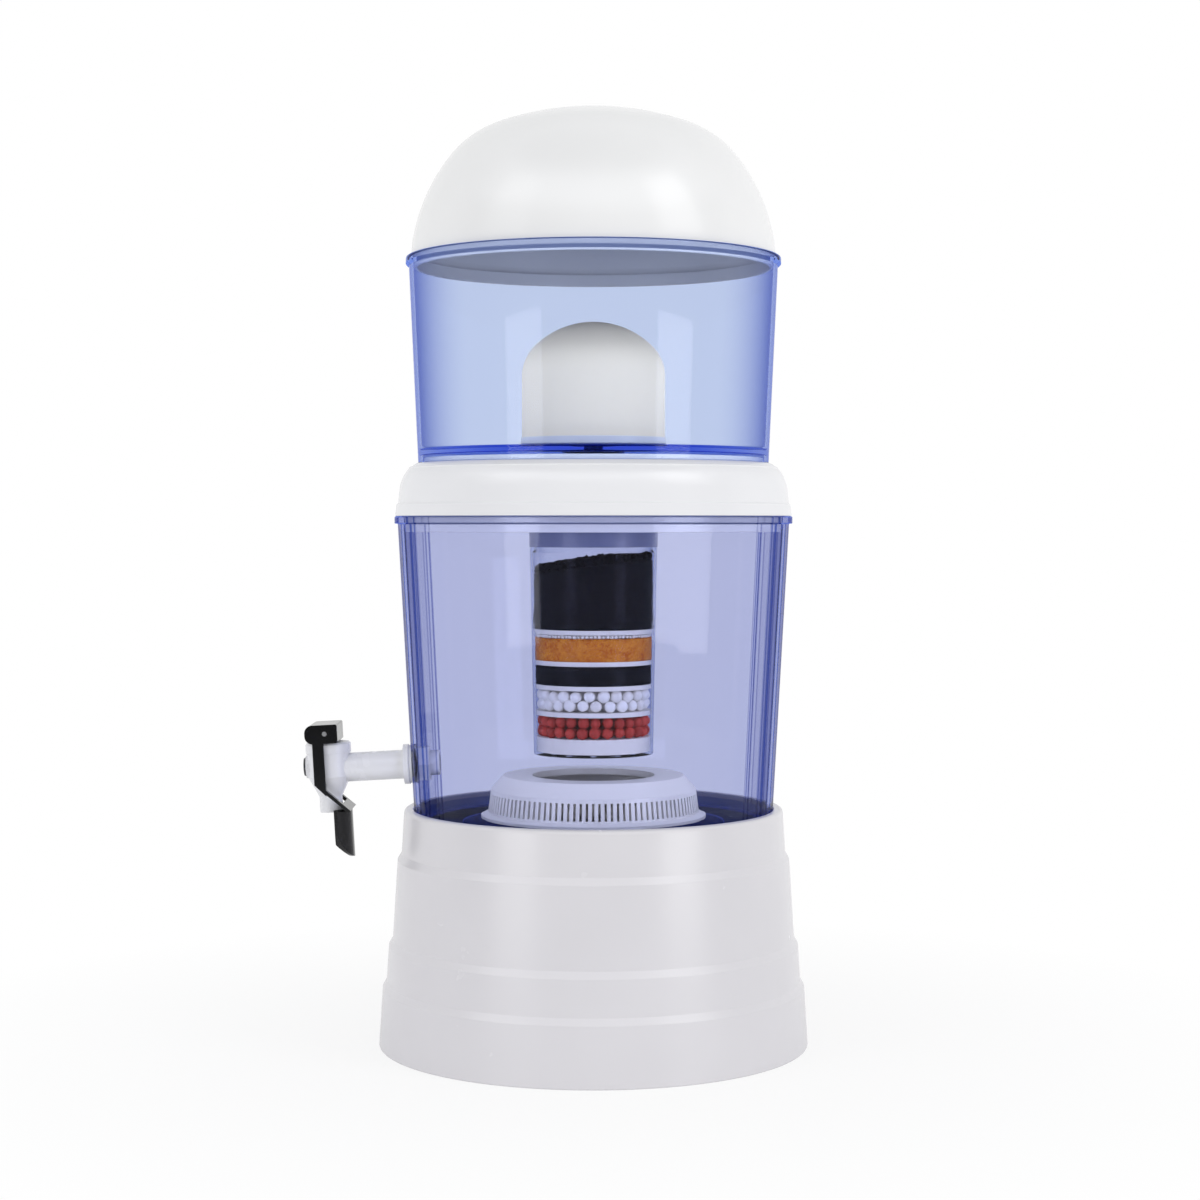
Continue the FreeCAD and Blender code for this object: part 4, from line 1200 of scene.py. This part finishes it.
@dataclass
class CeramicFilter:
    """Thick ceramic candle on its white base, clamped through the tank's floor."""

    radius: float = 46.0
    wall: float = 8.0
    crown_rise: float = 35.0
    shoulder: float = 27.0
    supports: tuple[float, float] = (20.0, 4.0)
    arc_points: int = 20
    segments: int = 160

    def build(self) -> None:
        """Turns the candle: straight side, shoulder arc and a flatter crown that touches it."""
        low, high = node_box("ceramic_dome")
        spring = high[2] - self.crown_rise
        offset = self.radius - self.shoulder
        crown = (offset**2 + self.crown_rise**2 - self.shoulder**2) / (2 * (self.crown_rise - self.shoulder))
        start = math.degrees(math.atan2(spring - (high[2] - crown), offset))
        bore, bore_top = self.radius - self.wall, high[2] - self.wall
        line = Outline(closed=False).curve(np.array([(AXIS_POINT, bore_top)]))
        line.corner(offset, bore_top, 4.0).corner(bore, spring, 6.0)
        line.corner(bore, low[2], 0.8).corner(self.radius, low[2], 1.0)
        line.curve(np.array([(self.radius, spring - drop) for drop in self.supports]))
        line.curve(arc_run((offset, spring), self.shoulder, 0, start, self.arc_points)[:-1])
        line.curve(arc_run((0.0, high[2] - crown), crown, start, 90 - AXIS_POINT, self.arc_points))
        candle = turned(line, self.segments)
        make_piece("ceramic_candle", candle, CERAMIC.material(), "upper_tank", ("ceramic_dome",))
        dress(FILTER_PLASTIC.material(), "filter_base", "wing_nut")
        dress(SILICONE.material(), "filter_gasket", "nut_gasket")


# The cartridge and the stone case


@dataclass
class GrainBed:
    """One bed of the cartridge: loose grains, over a packed core where they are too many to draw one by one."""

    node: str
    slot: str
    finish: Mineral | Beads
    kind: Grain
    grain: float
    layers: int
    core: bool = False
    roughness: float = 0.5
    lift: float = 0.0
    slump: float = 0.0
    core_gap: float = 0.15
    row_height: float = 1.8
    cap_rings: int = 22
    segments: int = 144

    def sunk(self, y: np.ndarray, radius: float) -> np.ndarray:
        """How far the bed's top has slid down: nothing on one side, the whole slump on the tap's side."""
        return self.slump * (0.5 - 0.5 * y / radius) ** 1.5

    def packed_core(self, rng: np.random.Generator) -> Surface:
        """Drum of the bed, its side and top roughened by whole arrays of small random steps inwards.

        Args:
            rng: the seeded source of chance.

        Returns:
            Points and faces.
        """
        low, high = node_box(self.node)
        radius, top = high[0] - self.core_gap, high[2] - self.lift
        rows = max(4, int((top - low[2]) / self.row_height))
        side = np.stack([np.full(rows, radius), np.linspace(low[2], top, rows)], -1)
        rings = np.linspace(radius, 0, self.cap_rings)[1:]
        cap = np.stack([np.maximum(rings, AXIS_POINT), np.full(len(rings), top)], -1)
        floor = np.stack([np.array([AXIS_POINT, radius / 2]), np.full(2, low[2])], -1)
        line = np.concatenate([floor, side, cap])
        turn = np.linspace(0, 2 * np.pi, self.segments, endpoint=False)
        depth = self.roughness * rng.uniform(0, 1, (len(line), self.segments))
        inner = line[:, :1] < 2.0
        reach = np.where(inner, line[:, :1], line[:, :1] - depth)
        rough_top = (np.arange(len(line)) >= 2 + rows)[:, None] & ~inner
        level = line[:, 1:] - np.where(rough_top, 1.5 * self.roughness * rng.uniform(0, 1, depth.shape), 0.0)
        level = np.minimum(level, top - self.sunk(reach * np.sin(turn), radius))
        return woven(np.stack([reach * np.cos(turn), reach * np.sin(turn), level], -1), meets=False)

    def loose_grains(self, rng: np.random.Generator) -> tuple[Surface, np.ndarray]:
        """Layers of grains that fill the bed from its floor, or lie on the core's top.

        Args:
            rng: the seeded source of chance.

        Returns:
            The surface and a tone for each point.
        """
        low, high = node_box(self.node)
        half = self.grain / 2
        radius = high[0] - WALL_GAP
        first = (high[2] - self.lift - 0.2 * self.grain) if self.core else low[2] + half
        last = high[2] - half
        levels = np.linspace(first, max(first, last), self.layers)
        centres = np.concatenate([ringed_layer(radius, self.grain, level, rng) for level in levels])
        centres[:, 2] -= self.sunk(centres[:, 1], radius)
        sizes = half * (1 + rng.uniform(-0.12, 0.02, len(centres)))
        return scattered(self.kind, centres, sizes, rng)

    def build(self, rng: np.random.Generator) -> None:
        """Makes the bed's pieces in place of its plain node.

        Args:
            rng: the seeded source of chance.
        """
        finish = self.finish.material()
        if self.core:
            drum = self.packed_core(rng)
            tones = rng.uniform(0, PALEST, len(drum[0]))
            make_piece(f"{self.node}_packed", drum, finish, "middle_cover", (self.node,), tones)
        if self.layers:
            grains, tones = self.loose_grains(rng)
            smooth = self.kind is not Grain.LUMP
            make_piece(f"{self.node}_grains", grains, finish, "middle_cover", (self.node,), tones, smooth)


@dataclass
class Cartridge:
    """Clear cartridge under the cover with five mineral beds parted by felt screens."""

    beds: tuple[GrainBed, ...] = (
        GrainBed("coral_ball_bed", "red_mineral", RED_BALLS, Grain.BALL, 7.6, 2),
        GrainBed("silica_ball_bed", "white_mineral", WHITE_BALLS, Grain.BALL, 8.2, 2),
        GrainBed("fine_carbon_bed", "carbon", FINE_CARBON, Grain.LUMP, 2.6, 1, core=True, roughness=0.5, lift=1.4),
        GrainBed("resin_bed", "resin", RESIN, Grain.BALL, 2.0, 0, core=True, roughness=0.35, lift=2.4),
        GrainBed(
            "coarse_carbon_bed", "carbon", COARSE_CARBON, Grain.LUMP, 6.0, 2, True, roughness=1.0, lift=6.0, slump=9.0
        ),
    )
    resin_grain: float = 2.6

    def build(self, rng: np.random.Generator) -> None:
        """Builds the beds and the pale grains over the resin, and dresses the cup, cap, pad and screens.

        Args:
            rng: the seeded source of chance.
        """
        for bed in self.beds:
            bed.build(rng)
        high = node_box("resin_bed")[1]
        level = high[2] - self.resin_grain / 2
        centres = ringed_layer(high[0] - WALL_GAP, self.resin_grain, level, rng)
        sizes = 0.5 * self.resin_grain * rng.uniform(0.7, 1.0, len(centres))
        grains, tones = scattered(Grain.PEBBLE, centres, sizes, rng)
        white = WHITE_BALLS.material()
        make_piece("resin_bed_white_grains", grains, white, "middle_cover", (), tones)
        dress(CUP_PLASTIC.material(), "cartridge_cup")
        dress(CAP_PLASTIC.material(), "cartridge_cap")
        dress(FELT.material(), "cartridge_pad", "cartridge_screens")


@dataclass
class StoneCase:
    """Milky slotted case on the lower tank's floor, with loose mineral stones in it."""

    stone: float = 11.0
    gap: float = 1.5

    def build(self, rng: np.random.Generator) -> None:
        """Lays the stones and dresses the basket and its lid.

        Args:
            rng: the seeded source of chance.
        """
        low, high = node_box("mineral_stones")
        room = high[0] - self.gap
        levels = (low[2] + 0.5 * self.stone, high[2] - 0.45 * self.stone)
        centres = np.concatenate([ringed_layer(room, self.stone, level, rng) for level in levels])
        sizes = 0.46 * self.stone * rng.uniform(0.75, 1.0, len(centres))
        stones, tones = scattered(Grain.PEBBLE, centres, sizes, rng)
        make_piece("case_stones", stones, STONES.material(), "lower_tank", ("mineral_stones",), tones)
        dress(CASE_PLASTIC.material(), "case_basket", "case_lid")


@dataclass
class Tap:
    """White tap with a black push lever, its washers, nut, valve and spring."""

    def build(self) -> None:
        """Dresses the tap's own nodes, which keep the frame's shapes."""
        dress(TAP_PLASTIC.material(), "tap_body", "tap_bonnet", "tap_nut", "valve_stem")
        dress(SILICONE.material(), "tap_outer_washer", "tap_inner_washer", "valve_seal")
        dress(LEVER_PLASTIC.material(), "tap_lever")
        dress(DISC_PLASTIC.material(), "tap_disc")
        dress(STEEL.material(), "lever_pin", "valve_spring")


# The studio


@dataclass(frozen=True)
class Softbox:
    """One lamp that faces the stack: its bearing from the camera's side, the heights it spans, width and light."""

    bearing: float
    foot: float
    top: float
    width: float
    radiance: float
    distance: float = 1.7

    def hang(self, name: str) -> None:
        """Hangs the lamp, unseen by the camera and through clear plastic.

        Its power is radiance times pi times area. Its strength is one, less the rays that come straight through
        clear plastic, which are transmission rays with no diffuse bounce before them.

        Args:
            name: the lamp's name.
        """
        turn, middle = math.radians(self.bearing), (self.foot + self.top) / 2
        lamp = bpy.data.lights.new(name, "AREA")
        lamp.shape = "RECTANGLE"
        lamp.size, lamp.size_y = self.width, self.top - self.foot
        lamp.energy = self.radiance * math.pi * lamp.size * lamp.size_y
        lamp.use_nodes = True
        tree = lamp.node_tree
        add = partial(add_node, tree)
        rays = add("ShaderNodeLightPath").outputs
        straight = add(MATHS, {"operation": "LESS_THAN"}, {0: rays["Diffuse Depth"], 1: 0.5})
        seen = add(MATHS, {"operation": "MULTIPLY"}, {0: rays["Is Transmission Ray"], 1: straight})
        strength = add(MATHS, {"operation": "SUBTRACT"}, {0: 1.0, 1: seen})
        tree.links.new(strength.outputs[0], tree.nodes["Emission"].inputs["Strength"])
        box = bpy.data.objects.new(name, lamp)
        box.location = Vector((math.cos(turn) * self.distance, math.sin(turn) * self.distance, middle))
        box.rotation_mode = "QUATERNION"
        facing = Vector((-math.cos(turn), -math.sin(turn), 0.0))
        box.rotation_quaternion = facing.to_track_quat("-Z", "Y")
        box.visible_camera = False
        bpy.context.scene.collection.objects.link(box)


@dataclass
class Studio:
    """Pale floor, white surroundings, softboxes and the camera of the photograph.

    Lengths are in metres, but the floor's rings in millimetres. The ramps run over X for the backdrop, over Z for
    the foot and the top of the high screens, both of a direction, and over the way from the stack for the shadow.
    """

    camera_place: tuple[float, float, float] = (1.547, 0.0042, 0.335)
    camera_aim: tuple[float, float, float] = (0.0, 0.0042, 0.2858)
    lens: float = 72.0
    boxes: tuple[Softbox, ...] = (
        Softbox(-43.0, 0.02, 0.47, 0.70, 4.0),
        Softbox(51.0, 0.02, 0.47, 0.70, 4.5),
        Softbox(-57.0, 1.0, 2.5, 0.9, 1.2),
        Softbox(57.0, 1.0, 2.5, 0.9, 2.2),
    )
    room_light: float = 0.72
    dark_side: float = 0.1
    high_screens: float = 1.8
    floor_radius: float = 1.3
    floor_rings: tuple[float, float] = (200.0, 500.0)
    floor_segments: int = 64
    shadow_share: float = 0.2
    shadow_reach: tuple[float, float] = (0.14, 0.5)
    backdrop_ramp: tuple[float, float] = (0.3, -0.2)
    screen_foot: tuple[float, float] = (0.5, 0.6)
    screen_top: tuple[float, float] = (0.88, 0.78)

    def backdrop_rays(self, add: Adder, place: bpy.types.NodeSocket) -> bpy.types.Node:
        """One for rays that see the white backdrop: from the camera, through clear plastic, or reflected to it.

        Args:
            add: what adds a node to the world or the floor.
            place: direction or place whose X tells the backdrop's side from the camera's.

        Returns:
            Node with the share of backdrop.
        """
        rays = add("ShaderNodeLightPath").outputs
        across = add("ShaderNodeSeparateXYZ", inputs={0: place}).outputs["X"]
        start, end = self.backdrop_ramp
        behind = add(RANGE, inputs={"Value": across, "From Min": start, "From Max": end})
        glossy = add(MATHS, {"operation": "MULTIPLY"}, {0: rays["Is Glossy Ray"], 1: behind})
        through = add(MATHS, {"operation": "MAXIMUM"}, {0: rays["Is Camera Ray"], 1: rays["Is Transmission Ray"]})
        return add(MATHS, {"operation": "MAXIMUM"}, {0: through, 1: glossy})

    def light_world(self) -> None:
        """White where the backdrop is seen, an even soft light elsewhere, and high screens that gloss mirrors."""
        world = bpy.data.worlds.new("white_studio")
        world.use_nodes = True
        world.node_tree.nodes.clear()
        add = partial(add_node, world.node_tree)
        way = add("ShaderNodeTexCoord").outputs["Generated"]
        height = add("ShaderNodeSeparateXYZ", inputs={0: way}).outputs["Z"]
        ramps = []
        for start, end in (self.screen_foot, self.screen_top):
            ramps.append(add(RANGE, inputs={"Value": height, "From Min": start, "From Max": end}))
        screens = add(MATHS, {"operation": "MULTIPLY"}, dict(enumerate(ramps)))
        mirrored = add(RANGE, inputs={"Value": screens, "To Min": self.dark_side, "To Max": self.high_screens})
        glossy = add("ShaderNodeLightPath").outputs["Is Glossy Ray"]
        strength = add(MIX, inputs={0: glossy, 2: self.room_light, 3: mirrored})
        soft = add("ShaderNodeBackground", inputs={"Color": linear("#fbfcff"), "Strength": strength})
        white = add("ShaderNodeBackground", inputs={"Color": linear("#ffffff"), "Strength": 1.0})
        both = add("ShaderNodeMixShader", inputs={0: self.backdrop_rays(add, way), 1: soft, 2: white})
        add("ShaderNodeOutputWorld", inputs={"Surface": both})
        bpy.context.scene.world = world

    def lay_floor(self) -> None:
        """Round pale floor: it takes a faint shadow near the stand and fades to white away from it."""
        radii = np.array([self.floor_radius / MM, *self.floor_rings[::-1], AXIS_POINT])
        line = Outline(closed=False).curve(np.stack([radii, np.zeros(len(radii))], -1))
        points, faces = turned(line, self.floor_segments)
        mesh = bpy.data.meshes.new("studio_floor")
        mesh.from_pydata((points * MM).tolist(), [], faces.tolist())
        made, add, place = blank_material("pale_painted_floor")
        away = add("ShaderNodeVectorMath", {"operation": "LENGTH"}, {0: place}).outputs["Value"]
        near, far = self.shadow_reach
        ends = {"From Min": near, "From Max": far, "To Min": 1 - self.shadow_share}
        shade = add(RANGE, inputs={"Value": away} | ends)
        glow = add(MATHS, {"operation": "MULTIPLY"}, {0: self.backdrop_rays(add, place), 1: shade})
        grain = add(NOISE, inputs={"Vector": place, "Scale": per_metre(3)})
        relief = add(BUMP, inputs={"Height": grain, "Strength": 0.2, "Distance": 0.05 * MM})
        paint = add("ShaderNodeBsdfDiffuse", inputs={"Color": linear("#f7f7f7"), "Normal": relief})
        white = add("ShaderNodeEmission", inputs={"Color": linear("#ffffff"), "Strength": 1.0})
        both = add("ShaderNodeMixShader", inputs={0: glow, 1: paint, 2: white})
        add("ShaderNodeOutputMaterial", inputs={"Surface": both})
        mesh.materials.append(made)
        floor = bpy.data.objects.new("studio_floor", mesh)
        bpy.context.scene.collection.objects.link(floor)

    def set_camera(self) -> None:
        """Puts the camera at the photograph's place."""
        lens = bpy.data.cameras.new("photo_camera")
        lens.lens, lens.sensor_width = self.lens, 36.0
        lens.clip_start, lens.clip_end = 0.05, 30.0
        camera = bpy.data.objects.new("photo_camera", lens)
        place = Vector(self.camera_place)
        camera.location = place
        camera.rotation_mode = "QUATERNION"
        camera.rotation_quaternion = (Vector(self.camera_aim) - place).to_track_quat("-Z", "Y")
        bpy.context.scene.collection.objects.link(camera)
        bpy.context.scene.camera = camera

    def build(self) -> None:
        """Sets up the whole studio."""
        bpy.context.scene.view_settings.view_transform = "Standard"
        self.light_world()
        self.lay_floor()
        for k, box in enumerate(self.boxes):
            box.hang(f"softbox_{k}")
        self.set_camera()


def main() -> None:
    """Builds the studio and the whole filter."""
    logging.basicConfig(level=logging.INFO, format="%(name)s: %(message)s")
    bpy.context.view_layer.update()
    rng = np.random.default_rng(SEED)
    Studio().build()
    Stand().build()
    LowerTank().build()
    MiddleCover().build()
    UpperTank().build()
    Lid().build()
    CeramicFilter().build()
    Cartridge().build(rng)
    StoneCase().build(rng)
    Tap().build()


if __name__ == "__main__":
    main()
